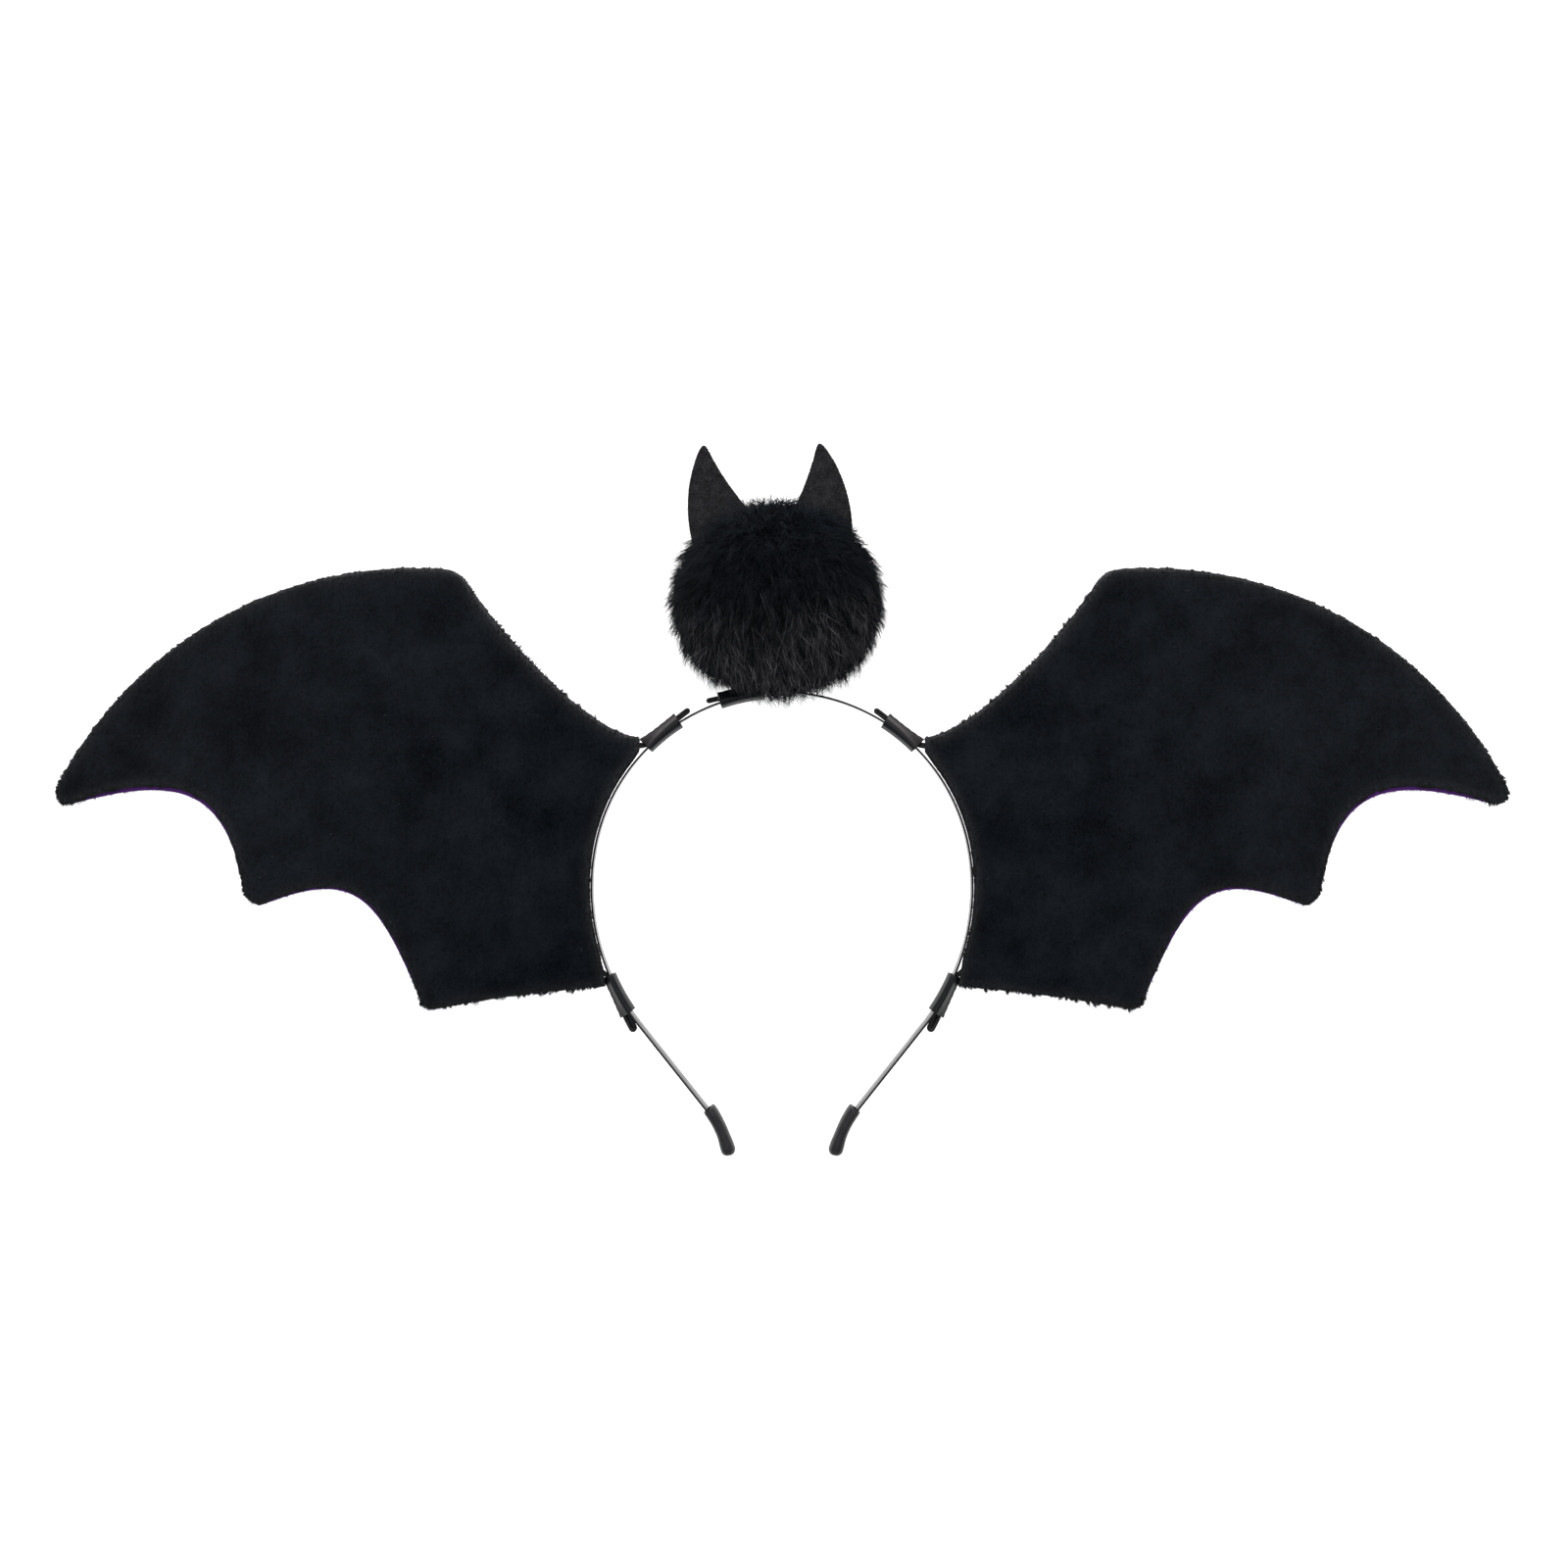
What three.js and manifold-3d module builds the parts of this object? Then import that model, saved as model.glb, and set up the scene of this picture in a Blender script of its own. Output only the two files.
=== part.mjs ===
// Bat headband: a black steel strip with rubber end caps, two plush wings on wires,
// and a fur ball with two felt ears. The headband is drawn flat, with X to the right,
// Y towards the ears and Z to the front, and then laid on its back on the floor.
// Sizes are in millimetres.

import * as THREE from 'three';
import { mergeVertices } from 'three/addons/utils/BufferGeometryUtils.js';
import Module from 'manifold-3d';

const wasm = await Module();
wasm.setup();

// Clearance between pieces that touch on the real headband
const GAP = 0.3;

// Strip: its right half from the top of the circle to the tip, one row for each bend or straight
const BAND_WIDTH = 6;
const BAND_THICKNESS = 0.6;
const BAND_EDGE_ROUND = 0.25;
const CAP_LENGTH = 16.3;
const CAP_GRIP = 12;
const CAP_BEND_RADIUS = 33;
const CAP_TURN_DEG = THREE.MathUtils.radToDeg(CAP_LENGTH / CAP_BEND_RADIUS);
const BAND_RUNS = [
  { run: 'circle', radius: 59.4, turnDeg: 80, steps: 16 },
  { run: 'opening', radius: 69, turnDeg: 48.5, steps: 9 },
  { run: 'leg', straight: 34.1, steps: 1 },
  { run: 'cap', radius: -CAP_BEND_RADIUS, turnDeg: CAP_TURN_DEG, steps: 5 },
];

// End caps: half sizes across the strip's thickness and its width, from the mouth to the round end,
// and how far each section's middle lies towards the head. The socket has spare room on that side.
const CAP_SIDES = 14;
const CAP_SQUARENESS = 2.6;
const CAP_SECTIONS = [
  { along: 0, inwards: 0.45, across: 1.5, fore: 3.95 },
  { along: 0.05, inwards: 0.45, across: 1.6, fore: 4.05 },
  { along: 0.35, inwards: 0.45, across: 1.5, fore: 4 },
  { along: 0.6, inwards: 0.4, across: 1.6, fore: 4 },
  { along: 0.8, inwards: 0.3, across: 2.1, fore: 4.05 },
  { along: 0.88, inwards: 0.3, across: 2.2, fore: 4.1 },
  { along: 0.95, inwards: 0.3, across: 1.8, fore: 3.5 },
  { along: 0.985, inwards: 0.3, across: 1.15, fore: 2.5 },
  { along: 1, inwards: 0.3, across: 0.5, fore: 1.2 },
];
const SOCKET_SPARE = 0.55;
const SOCKET_OVERCUT = 1;
const SOCKET_STEPS = 5;

// Wires and the sleeves that hold them: places are lengths along the strip from its top
const WIRE_RADIUS = 0.42;
const WIRE_SIDES = 6;
const WIRE_STEPS = 30;
const STRAND_PITCH = 0.9;
const LOOP_TURN_DEG = [90, 45, 0, -45, -90];
const SLEEVE_WALL = 0.45;
const SLEEVE_SLACK = 0.3;
const UPPER_TIE = { loopEnd: 33.8, rootEnd: 46.6, loopReach: 4.7, loopWidth: 1.08, mainStrand: 1, wide: 1 };
const LOWER_TIE = { loopEnd: 136.3, rootEnd: 123.2, loopReach: 5.6, loopWidth: 1.1, mainStrand: 0, wide: 0 };
const POMPOM_TIE = { loopEnd: 19.7, rootEnd: 5.5, loopReach: 3.9, loopWidth: 1.08, mainStrand: 1, wide: 1 };
const UPPER_ROOT = { x: 44.7, y: 43.4 };
const UPPER_RETURN = { x: 44.3, y: 41.9 };
const LOWER_ROOT = { x: 56.35, y: -27.4 };
const STEM_TOP = 9.5;
const STEM_BEND = 2.5;
const STEM_ROOM = 0.45;
const TIE_ROOM = { from: -28, to: 28, steps: 8 };

// A sleeve's section, as shares of its reach over the strip's edge and of the wires' lobe on its outer side
const SLEEVE_SECTION = {
  faceFore: 0.74, edgeOut: 0.72, edgeFore: 0.94, neckFore: 0.92,
  lobeOut: 0.55, lobeFore: 1.05, crownFore: 0.45,
};
const SLEEVE_FORM = [
  { along: 0, swell: 0.25 },
  { along: 0.15, swell: 0 },
  { along: 0.5, swell: 0 },
  { along: 0.85, swell: 0 },
  { along: 1, swell: 0.3 },
];

// Right wing: its plan seen from the front, corner by corner
const WING_STANDOFF = 0.75;
const WING_UPPER = { x: 45.4, y: 45.6 };
const WING_NECK = { x: 45.2, y: 40.9, along: 54 };
const WING_LOWER = { x: 56.7, y: -32.8, along: 116 };
const SHOULDER = { pullX: 58.9, pullY: 46.3, turnX: 84.9, turnY: 73.2, endX: 98.6, endY: 93.1 };
const TOP_CORNER = { x: 101.6, y: 99.5 };
const TOP_ARC = { x: 117.9, y: -30.3, radius: 129.3, fromDeg: 93, toDeg: 29 };
const WING_TIP = { x: 232.6, y: 28.6, underX: 231.1, underY: 24.8 };
const BOTTOM = { bendX: 84.7, bendY: -35, endX: 109.8, endY: -40.2 };
const LOWER_POINT = { x: 113.1, y: -40.3 };
const MIDDLE_POINT = { x: 169.1, y: -7.5 };
const LOWER_SCALLOP = {
  startX: 114.1, startY: -37.6, startDeg: 66.7, startPull: 36.1,
  endX: 165.7, endY: -7.9, endDeg: 158.2, endPull: 33.2,
};
const OUTER_SCALLOP = {
  startX: 171, startY: -4.3, startDeg: 79.6, startPull: 33.5,
  endX: 228, endY: 24.3, endDeg: 165.1, endPull: 38.7,
};
const WING_STEPS = { neck: 1, shoulder: 6, corner: 2, innerBay: 7, point: 2, outerBay: 8, rise: 7 };
const TOP_ARC_SPLIT_DEG = { bay: 67, point: 64 };
const PLUSH_THICKNESS = 2.3;
const BACKING_THICKNESS = 1.6;
const EDGE_ROLL = 1.3;
const BACKING_SHOWS = 0.7;

// How the wings sag behind the strip's plane: the slope far out, and the length that it takes to begin
const SAG_SLOPE = 0.089;
const SAG_EASE = 15;
const SAG_ROOT = { x: 45, y: 43, outDeg: 9.1 };

// Fur ball: a head with a lock on each of its facets, hanging a little, and pressed flat where it lies
const POMPOM = { x: -1.7, y: 88.3, z: 0 };
const POMPOM_HEAD = 33.1;
const POMPOM_REACH = 33.7;
const POMPOM_SQUAT = 0.94; // its height towards the ears, as a share of its width
const LOCK_DETAIL = 3;
const LOCK_DROOP = 0.9;
const LOCK_VARIES = 0.25;
const LOCK_SCATTER = { turn: 12.9898, stretch: 43758.5453 };

// Felt ears: one leaf, mirrored, with its tip as its own origin
const EAR_THICKNESS = 1.8;
const EAR_LEAN_DEG = 6.5;
const EAR_INNER = { x: -14, y: -25 };
const EAR_OUTER = { pullX: 6, pullY: -7.5, turnX: 9.2, turnY: -20, endX: 6.5, endY: -33 };
const EAR_CUP = 1.6;
const EAR_ROWS = 9;
const EAR_COLUMNS = 4;
const EAR_BLUNT = 0.03;
const EAR_CROWDING = 1.4;
const EAR_RIM = 0.55;
const EARS = [
  { name: 'ear_left', side: -1, tipX: -24.5, tipY: 136.9 },
  { name: 'ear_right', side: 1, tipX: 11.7, tipY: 137.5 },
];

// Leaning angle of the strip's plane when the headband lies on its caps and its fur ball
const LIE_DEG = 6.8;

const FULL_TURN = 2 * Math.PI;
const MERGE_WITHIN = 1e-3;
const FLOOR_BLOCK = 140;
const { degToRad } = THREE.MathUtils;

const finishes = {
  enamel: { color: 0x121214, roughness: 0.22, metalness: 0.2 },
  rubber: { color: 0x2d2d32, roughness: 0.75, metalness: 0 },
  sleeve: { color: 0x2c2a2d, roughness: 0.45, metalness: 0 },
  wire: { color: 0x161619, roughness: 0.4, metalness: 0 },
  plush: { color: 0x14171b, roughness: 0.95, metalness: 0 },
  backing: { color: 0x4b236e, roughness: 0.9, metalness: 0 },
  fur: { color: 0x17171a, roughness: 0.85, metalness: 0 },
  felt: { color: 0x262426, roughness: 0.95, metalness: 0 },
};

function piece(name, geometry, finish) {
  const mesh = new THREE.Mesh(geometry, new THREE.MeshStandardMaterial(finishes[finish]));
  mesh.name = name;
  return mesh;
}

// A closed geometry from points and triangles, turned so that its faces point out.
function closedGeometry(points, triangles) {
  const cross = new THREE.Vector3();
  let volume = 0;
  for (const [a, b, c] of triangles) {
    volume += points[a].dot(cross.crossVectors(points[b], points[c]));
  }
  const facing = volume < 0 ? triangles.map(([a, b, c]) => [a, c, b]) : triangles;
  const geometry = new THREE.BufferGeometry().setFromPoints(points);
  geometry.setIndex(facing.flat());
  return geometry;
}

// Adds the wall between two rings of the same length, given as lists of point numbers.
function joinRings(triangles, lower, upper) {
  lower.forEach((corner, i) => {
    const next = (i + 1) % lower.length;
    triangles.push([corner, lower[next], upper[next]], [corner, upper[next], upper[i]]);
  });
}

function numberRings(rings) {
  const points = rings.flat();
  let count = 0;
  const numbers = rings.map((ring) => ring.map(() => count++));
  return { points, numbers };
}

// A solid through rings of points, closed at both ends by a fan round the ring's middle.
function loft(rings) {
  const { points, numbers } = numberRings(rings);
  const triangles = [];
  for (let i = 0; i + 1 < numbers.length; i++) {
    joinRings(triangles, numbers[i], numbers[i + 1]);
  }
  const addFan = (ring, ends) => {
    const middle = points.length;
    points.push(ring.reduce((sum, p) => sum.add(p), new THREE.Vector3()).divideScalar(ring.length));
    ends.forEach((corner, i) => triangles.push([middle, ends[(i + 1) % ends.length], corner]));
  };
  addFan(rings[0], numbers[0]);
  addFan(rings.at(-1), numbers.at(-1).toReversed());
  return closedGeometry(points, triangles);
}

// A pipe with walls: the outer rings and the hollow's rings are joined at both ends.
function pipe(outerRings, hollowRings) {
  const { points, numbers } = numberRings([...outerRings, ...hollowRings.toReversed()]);
  const triangles = [];
  numbers.forEach((ring, i) => joinRings(triangles, ring, numbers[(i + 1) % numbers.length]));
  return closedGeometry(points, triangles);
}

function toSolid(geometry) {
  const bare = geometry.clone();
  bare.deleteAttribute('normal');
  bare.deleteAttribute('uv');
  const merged = mergeVertices(bare, MERGE_WITHIN);
  const vertProperties = new Float32Array(merged.getAttribute('position').array);
  const triVerts = new Uint32Array(merged.getIndex().array);
  return new wasm.Manifold(new wasm.Mesh({ numProp: 3, vertProperties, triVerts }));
}

function toGeometry(solid) {
  const mesh = solid.getMesh();
  const geometry = new THREE.BufferGeometry();
  geometry.setAttribute('position', new THREE.BufferAttribute(mesh.vertProperties, 3));
  geometry.setIndex(new THREE.BufferAttribute(mesh.triVerts, 1));
  return geometry;
}

// The largest of a solid's separate bodies.
function largestBody(solid) {
  return solid.decompose().reduce((best, body) => (body.volume() > best.volume() ? body : best));
}

// Strip

function runLength(row) {
  return row.straight ?? Math.abs(row.radius) * degToRad(row.turnDeg);
}

const BAND_HALF_LENGTH = BAND_RUNS.reduce((sum, row) => sum + runLength(row), 0) - CAP_LENGTH + CAP_GRIP;
const CAP_MOUTH = BAND_HALF_LENGTH - CAP_GRIP;

// The strip's centre line at a length from its top, to the right where that is positive.
// Heading 0 points right and grows clockwise, and "out" points away from the head.
function bandPlace(along) {
  let { radius: y } = BAND_RUNS[0];
  let x = 0;
  let heading = 0;
  let left = Math.abs(along);
  for (const row of BAND_RUNS) {
    const step = Math.min(left, runLength(row));
    if (row.straight) {
      x += step * Math.cos(heading);
      y -= step * Math.sin(heading);
    } else {
      const turned = heading + step / row.radius;
      x += row.radius * (Math.sin(turned) - Math.sin(heading));
      y += row.radius * (Math.cos(turned) - Math.cos(heading));
      heading = turned;
    }
    left -= step;
  }
  const side = along < 0 ? -1 : 1;
  const out = new THREE.Vector3(side * Math.sin(heading), Math.cos(heading), 0);
  return { centre: new THREE.Vector3(side * x, y, 0), out };
}

// A point beside the strip: "out" from its centre line and "fore" to the front.
function besideBand(along, out, fore = 0) {
  const place = bandPlace(along);
  const point = place.centre.addScaledVector(place.out, out);
  point.z = fore;
  return point;
}

function bandStations() {
  const stations = [0];
  let start = 0;
  for (const row of BAND_RUNS) {
    for (let i = 1; i <= row.steps; i++) {
      stations.push(Math.min(start + (runLength(row) * i) / row.steps, BAND_HALF_LENGTH));
    }
    start += runLength(row);
  }
  return [...new Set(stations)];
}

function stripSection(thickness, width, edge) {
  const out = thickness / 2;
  const fore = width / 2;
  return [
    [out, -fore + edge], [out, fore - edge], [0, fore],
    [-out, fore - edge], [-out, -fore + edge], [0, -fore],
  ];
}

function ringBeside(along, section) {
  return section.map(([out, fore]) => besideBand(along, out, fore));
}

function band() {
  const right = bandStations();
  const left = right.slice(1).map((along) => -along);
  const section = stripSection(BAND_THICKNESS, BAND_WIDTH, BAND_EDGE_ROUND);
  return loft([...left.toReversed(), ...right].map((along) => ringBeside(along, section)));
}

// End cap: rounded sections along the strip's bent tip, with a socket for the strip

function roundedSection({ inwards, across, fore }) {
  return Array.from({ length: CAP_SIDES }, (_, i) => {
    const angle = (FULL_TURN * i) / CAP_SIDES;
    const swell = (value) => Math.sign(value) * Math.abs(value) ** (2 / CAP_SQUARENESS);
    return [across * swell(Math.cos(angle)) - inwards, fore * swell(Math.sin(angle))];
  });
}

function endCap() {
  const body = loft(CAP_SECTIONS.map((row) =>
    ringBeside(CAP_MOUTH + row.along * CAP_LENGTH, roundedSection(row))));
  const room = 2 * GAP;
  const socket = stripSection(BAND_THICKNESS + room + SOCKET_SPARE, BAND_WIDTH + room, BAND_EDGE_ROUND)
    .map(([out, fore]) => [out - SOCKET_SPARE / 2, fore]);
  const depths = Array.from({ length: SOCKET_STEPS + 1 }, (_, i) =>
    THREE.MathUtils.lerp(-SOCKET_OVERCUT, CAP_GRIP + GAP, i / SOCKET_STEPS));
  const hollow = loft(depths.map((depth) => ringBeside(CAP_MOUTH + depth, socket)));
  return toGeometry(toSolid(body).subtract(toSolid(hollow)));
}

// Sleeves and wires

const INNER_STRAND = BAND_THICKNESS / 2 + GAP + WIRE_RADIUS;

// Half of a sleeve's section goes round the strip's edge to the wire's lobe; the other half mirrors it.
function sleeveSection(wall, outermost) {
  const inner = -(BAND_THICKNESS / 2 + GAP + SLEEVE_SLACK + wall);
  const fore = BAND_WIDTH / 2 + GAP + wall;
  const outer = outermost + WIRE_RADIUS + GAP + wall;
  const lobe = WIRE_RADIUS + GAP + wall;
  const share = SLEEVE_SECTION;
  const half = [
    { out: inner, fore: share.faceFore * fore },
    { out: share.edgeOut * inner, fore: share.edgeFore * fore },
    { out: BAND_THICKNESS / 4, fore },
    { out: INNER_STRAND - WIRE_RADIUS / 4, fore: share.neckFore * fore },
    { out: outer - share.lobeOut * lobe, fore: share.lobeFore * lobe },
    { out: outer, fore: share.crownFore * lobe },
  ];
  const front = half.map((row) => [row.out, row.fore]);
  const back = half.toReversed().map((row) => [row.out, -row.fore]);
  return [...front, ...back];
}

// The outer strand ends inside a sleeve whose root end is narrow.
function outermostStrand(tie, along) {
  const root = tie.wide * STRAND_PITCH;
  const loop = Math.max(STRAND_PITCH, tie.loopWidth * (1 - tie.wide));
  return INNER_STRAND + THREE.MathUtils.lerp(loop, root, along);
}

function sleeve(tie, side) {
  const rings = (wall) => SLEEVE_FORM.map(({ along, swell }) => {
    const place = THREE.MathUtils.lerp(tie.loopEnd, tie.rootEnd, along);
    return ringBeside(side * place, sleeveSection(wall, outermostStrand(tie, along) + swell));
  });
  return pipe(rings(SLEEVE_WALL), rings(0));
}

// A wire's hairpin: the main strand from the root, the loop past the sleeve, and the returning strand.
function hairpin(tie, side) {
  const onward = Math.sign(tie.loopEnd - tie.rootEnd);
  const bow = tie.loopWidth / 2;
  const tip = tie.loopEnd + onward * (tie.loopReach - bow - WIRE_RADIUS);
  const middle = (tie.loopEnd + tie.rootEnd) / 2;
  const strandAt = (strand, along) =>
    (strand === 1 ? outermostStrand(tie, along) : INNER_STRAND);
  const first = tie.mainStrand;
  const second = 1 - first;
  const loopMiddle = (strandAt(0, 0) + strandAt(1, 0)) / 2;
  const towards = first === 1 ? 1 : -1;
  const turn = LOOP_TURN_DEG.map((deg) => {
    const angle = degToRad(deg);
    return [tip + onward * bow * Math.cos(angle), loopMiddle + towards * bow * Math.sin(angle)];
  });
  const main = [
    [tie.rootEnd, strandAt(first, 1)], [middle, strandAt(first, 0.5)], [tie.loopEnd, strandAt(first, 0)],
  ];
  const back = [[tie.loopEnd, strandAt(second, 0)], [middle, strandAt(second, 0.5)]];
  return [...main, ...turn, ...back].map(([along, out]) => besideBand(side * along, out));
}

function wireAlong(points, radius = WIRE_RADIUS) {
  const outline = new THREE.Shape(
    Array.from({ length: WIRE_SIDES }, (_, i) => {
      const angle = (FULL_TURN * i) / WIRE_SIDES;
      return new THREE.Vector2(radius * Math.cos(angle), radius * Math.sin(angle));
    }),
  );
  const extrudePath = new THREE.CatmullRomCurve3(points, false, 'centripetal');
  return new THREE.ExtrudeGeometry(outline, { steps: WIRE_STEPS, extrudePath, bevelEnabled: false });
}

// The upper hairpin's returning strand goes back to the wing too, and the lower one's ends in its sleeve.
function wingWire(tie, root, returnRoot) {
  const points = [new THREE.Vector3(root.x, root.y, 0), ...hairpin(tie, 1)];
  if (returnRoot) {
    points.push(besideBand(tie.rootEnd, INNER_STRAND), new THREE.Vector3(returnRoot.x, returnRoot.y, 0));
  }
  return wireAlong(points);
}

// The ball's wire turns away from the strip and stands up inside the ball.
function pompomStem(top) {
  const stemAlong = -(POMPOM_TIE.rootEnd - STEM_BEND);
  return [top, STEM_BEND + INNER_STRAND + STRAND_PITCH].map((out) => besideBand(stemAlong, out));
}

function pompomWire() {
  return wireAlong([...pompomStem(STEM_TOP), ...hairpin(POMPOM_TIE, -1)]);
}

// Wings

function bezier(start, startPull, endPull, end) {
  return new THREE.CubicBezierCurve(start, startPull, endPull, end);
}

function scallop(row) {
  const start = new THREE.Vector2(row.startX, row.startY);
  const end = new THREE.Vector2(row.endX, row.endY);
  const pulled = (from, deg, pull) =>
    from.clone().add(new THREE.Vector2(pull * Math.cos(degToRad(deg)), pull * Math.sin(degToRad(deg))));
  return bezier(start, pulled(start, row.startDeg, row.startPull), pulled(end, row.endDeg, row.endPull), end);
}

function bend(start, corner, end) {
  return new THREE.QuadraticBezierCurve(start, corner, end);
}

const vector = ({ x, y }) => new THREE.Vector2(x, y);

function topArc(fromDeg, toDeg) {
  const { x, y, radius } = TOP_ARC;
  return new THREE.EllipseCurve(x, y, radius, radius, degToRad(fromDeg), degToRad(toDeg), true);
}

// Points along several curves in turn, with the given number of steps on each.
function sampled(curves) {
  const points = [curves[0].curve.getPoint(0)];
  for (const { curve, steps } of curves) {
    points.push(...curve.getPoints(steps).slice(1));
  }
  return points;
}

// The wing's four sides, from its inner edge to its tip: the upper side from the neck over the top arc,
// the lower side from the inner corner past both points, the inner edge beside the strip, and the tip.
function wingSides() {
  const steps = WING_STEPS;
  const shoulderEnd = new THREE.Vector2(SHOULDER.endX, SHOULDER.endY);
  const shoulder = bezier(vector(WING_UPPER), new THREE.Vector2(SHOULDER.pullX, SHOULDER.pullY),
    new THREE.Vector2(SHOULDER.turnX, SHOULDER.turnY), shoulderEnd);
  const arcs = [
    { from: TOP_ARC.fromDeg, to: TOP_ARC_SPLIT_DEG.bay, steps: steps.innerBay },
    { from: TOP_ARC_SPLIT_DEG.bay, to: TOP_ARC_SPLIT_DEG.point, steps: steps.point },
    { from: TOP_ARC_SPLIT_DEG.point, to: TOP_ARC.toDeg, steps: steps.outerBay },
  ].map((row) => ({ curve: topArc(row.from, row.to), steps: row.steps }));
  const arcStart = arcs[0].curve.getPoint(0);
  const arcEnd = arcs.at(-1).curve.getPoint(1);
  const upper = sampled([
    { curve: new THREE.LineCurve(vector(WING_NECK), vector(WING_UPPER)), steps: steps.neck },
    { curve: shoulder, steps: steps.shoulder },
    { curve: bend(shoulderEnd, vector(TOP_CORNER), arcStart), steps: steps.corner },
    ...arcs,
  ]);
  const bottomEnd = new THREE.Vector2(BOTTOM.endX, BOTTOM.endY);
  const inner = scallop(LOWER_SCALLOP);
  const outer = scallop(OUTER_SCALLOP);
  const lower = sampled([
    {
      curve: bend(vector(WING_LOWER), new THREE.Vector2(BOTTOM.bendX, BOTTOM.bendY), bottomEnd),
      steps: steps.neck + steps.shoulder,
    },
    { curve: bend(bottomEnd, vector(LOWER_POINT), inner.getPoint(0)), steps: steps.corner },
    { curve: inner, steps: steps.innerBay },
    { curve: bend(inner.getPoint(1), vector(MIDDLE_POINT), outer.getPoint(0)), steps: steps.point },
    { curve: outer, steps: steps.outerBay },
  ]);
  const edge = Array.from({ length: steps.rise - 1 }, (_, i) => {
    const along = THREE.MathUtils.lerp(WING_LOWER.along, WING_NECK.along, i / (steps.rise - 2));
    return vector(besideBand(along, WING_STANDOFF));
  });
  const innerEdge = [vector(WING_LOWER), ...edge, vector(WING_NECK)];
  const underTip = new THREE.Vector2(WING_TIP.underX, WING_TIP.underY);
  const tipCurve = new THREE.SplineCurve([outer.getPoint(1), underTip, vector(WING_TIP), arcEnd]);
  const tip = tipCurve.getPoints(steps.rise);
  return { upper, lower, innerEdge, tip };
}

// A patch between four sides: the two ruled surfaces added, less the one through the corners.
function patch({ upper, lower, innerEdge, tip }) {
  const columns = upper.length - 1;
  const rows = innerEdge.length - 1;
  const mix = (a, b, share) => a.clone().lerp(b, share);
  return upper.map((_, i) => innerEdge.map((__, j) => {
    const u = i / columns;
    const v = j / rows;
    const ruled = mix(lower[i], upper[i], v).add(mix(innerEdge[j], tip[j], u));
    const corners = mix(mix(lower[0], lower[columns], u), mix(upper[0], upper[columns], u), v);
    return ruled.sub(corners);
  }));
}

// The sides' points moved square to the edge by the given amount, inwards where it is negative.
function offsetSides(sides, amount) {
  const loop = [
    ...sides.lower.slice(0, -1), ...sides.tip.slice(0, -1),
    ...sides.upper.toReversed().slice(0, -1), ...sides.innerEdge.toReversed().slice(0, -1),
  ];
  const moved = new Map();
  loop.forEach((point, i) => {
    const before = loop[(i + loop.length - 1) % loop.length];
    const after = loop[(i + 1) % loop.length];
    const along = after.clone().sub(before).normalize();
    const outwards = new THREE.Vector2(along.y, -along.x);
    moved.set(`${point.x} ${point.y}`, point.clone().addScaledVector(outwards, amount(point)));
  });
  const move = (point) => moved.get(`${point.x} ${point.y}`).clone();
  const side = (points) => points.map(move);
  return {
    upper: side(sides.upper), lower: side(sides.lower),
    innerEdge: side(sides.innerEdge), tip: side(sides.tip),
  };
}

// How far a point of the wing lies behind the strip's plane.
function sag(point) {
  const angle = degToRad(SAG_ROOT.outDeg);
  const reach = (point.x - SAG_ROOT.x) * Math.cos(angle) + (point.y - SAG_ROOT.y) * Math.sin(angle);
  return reach > 0 ? (SAG_SLOPE * reach * reach) / (reach + SAG_EASE) : 0;
}

// One layer of a wing: flat towards the other layer, rolled over at its outer edge.
function wingLayer(sides, near, far) {
  const flatGrid = patch(sides);
  const rolledGrid = patch(offsetSides(sides, () => -EDGE_ROLL));
  const columns = flatGrid.length;
  const rows = flatGrid[0].length;
  const points = [];
  const lay = (grid, height) => {
    const first = points.length;
    grid.flat().forEach((p) => points.push(new THREE.Vector3(p.x, p.y, height - sag(p))));
    return (i, j) => first + i * rows + j;
  };
  const triangles = [];
  const cover = (at, turned) => {
    for (let i = 0; i + 1 < columns; i++) {
      for (let j = 0; j + 1 < rows; j++) {
        const [a, b, c, d] = [at(i, j), at(i + 1, j), at(i + 1, j + 1), at(i, j + 1)];
        triangles.push(...(turned ? [[a, c, b], [a, d, c]] : [[a, b, c], [a, c, d]]));
      }
    }
  };
  const rim = (at) => {
    const numbers = [];
    for (let i = 0; i < columns - 1; i++) numbers.push(at(i, 0));
    for (let j = 0; j < rows - 1; j++) numbers.push(at(columns - 1, j));
    for (let i = columns - 1; i > 0; i--) numbers.push(at(i, rows - 1));
    for (let j = rows - 1; j > 0; j--) numbers.push(at(0, j));
    return numbers;
  };
  const flat = lay(flatGrid, near);
  const rolled = lay(rolledGrid, far);
  const edgeStart = points.length;
  rim(flat).forEach((number, i) => {
    const point = points[number].clone();
    point.z += (far - near) / 2;
    points[edgeStart + i] = point;
  });
  const edge = rim(flat).map((_, i) => edgeStart + i);
  cover(flat, true);
  joinRings(triangles, rim(flat), edge);
  joinRings(triangles, edge, rim(rolled));
  cover(rolled, false);
  return closedGeometry(points, triangles);
}

function wingPieces(suffix) {
  const sides = wingSides();
  const scallops = new Set(sides.lower.slice(WING_STEPS.neck + WING_STEPS.shoulder + WING_STEPS.corner, -1));
  const narrower = offsetSides(sides, (point) => (scallops.has(point) ? -BACKING_SHOWS : 0));
  return [
    piece(`wing_front_${suffix}`, wingLayer(narrower, GAP / 2, GAP / 2 + PLUSH_THICKNESS), 'plush'),
    piece(`wing_back_${suffix}`, wingLayer(sides, -GAP / 2, -GAP / 2 - BACKING_THICKNESS), 'backing'),
  ];
}

// Ears

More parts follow.
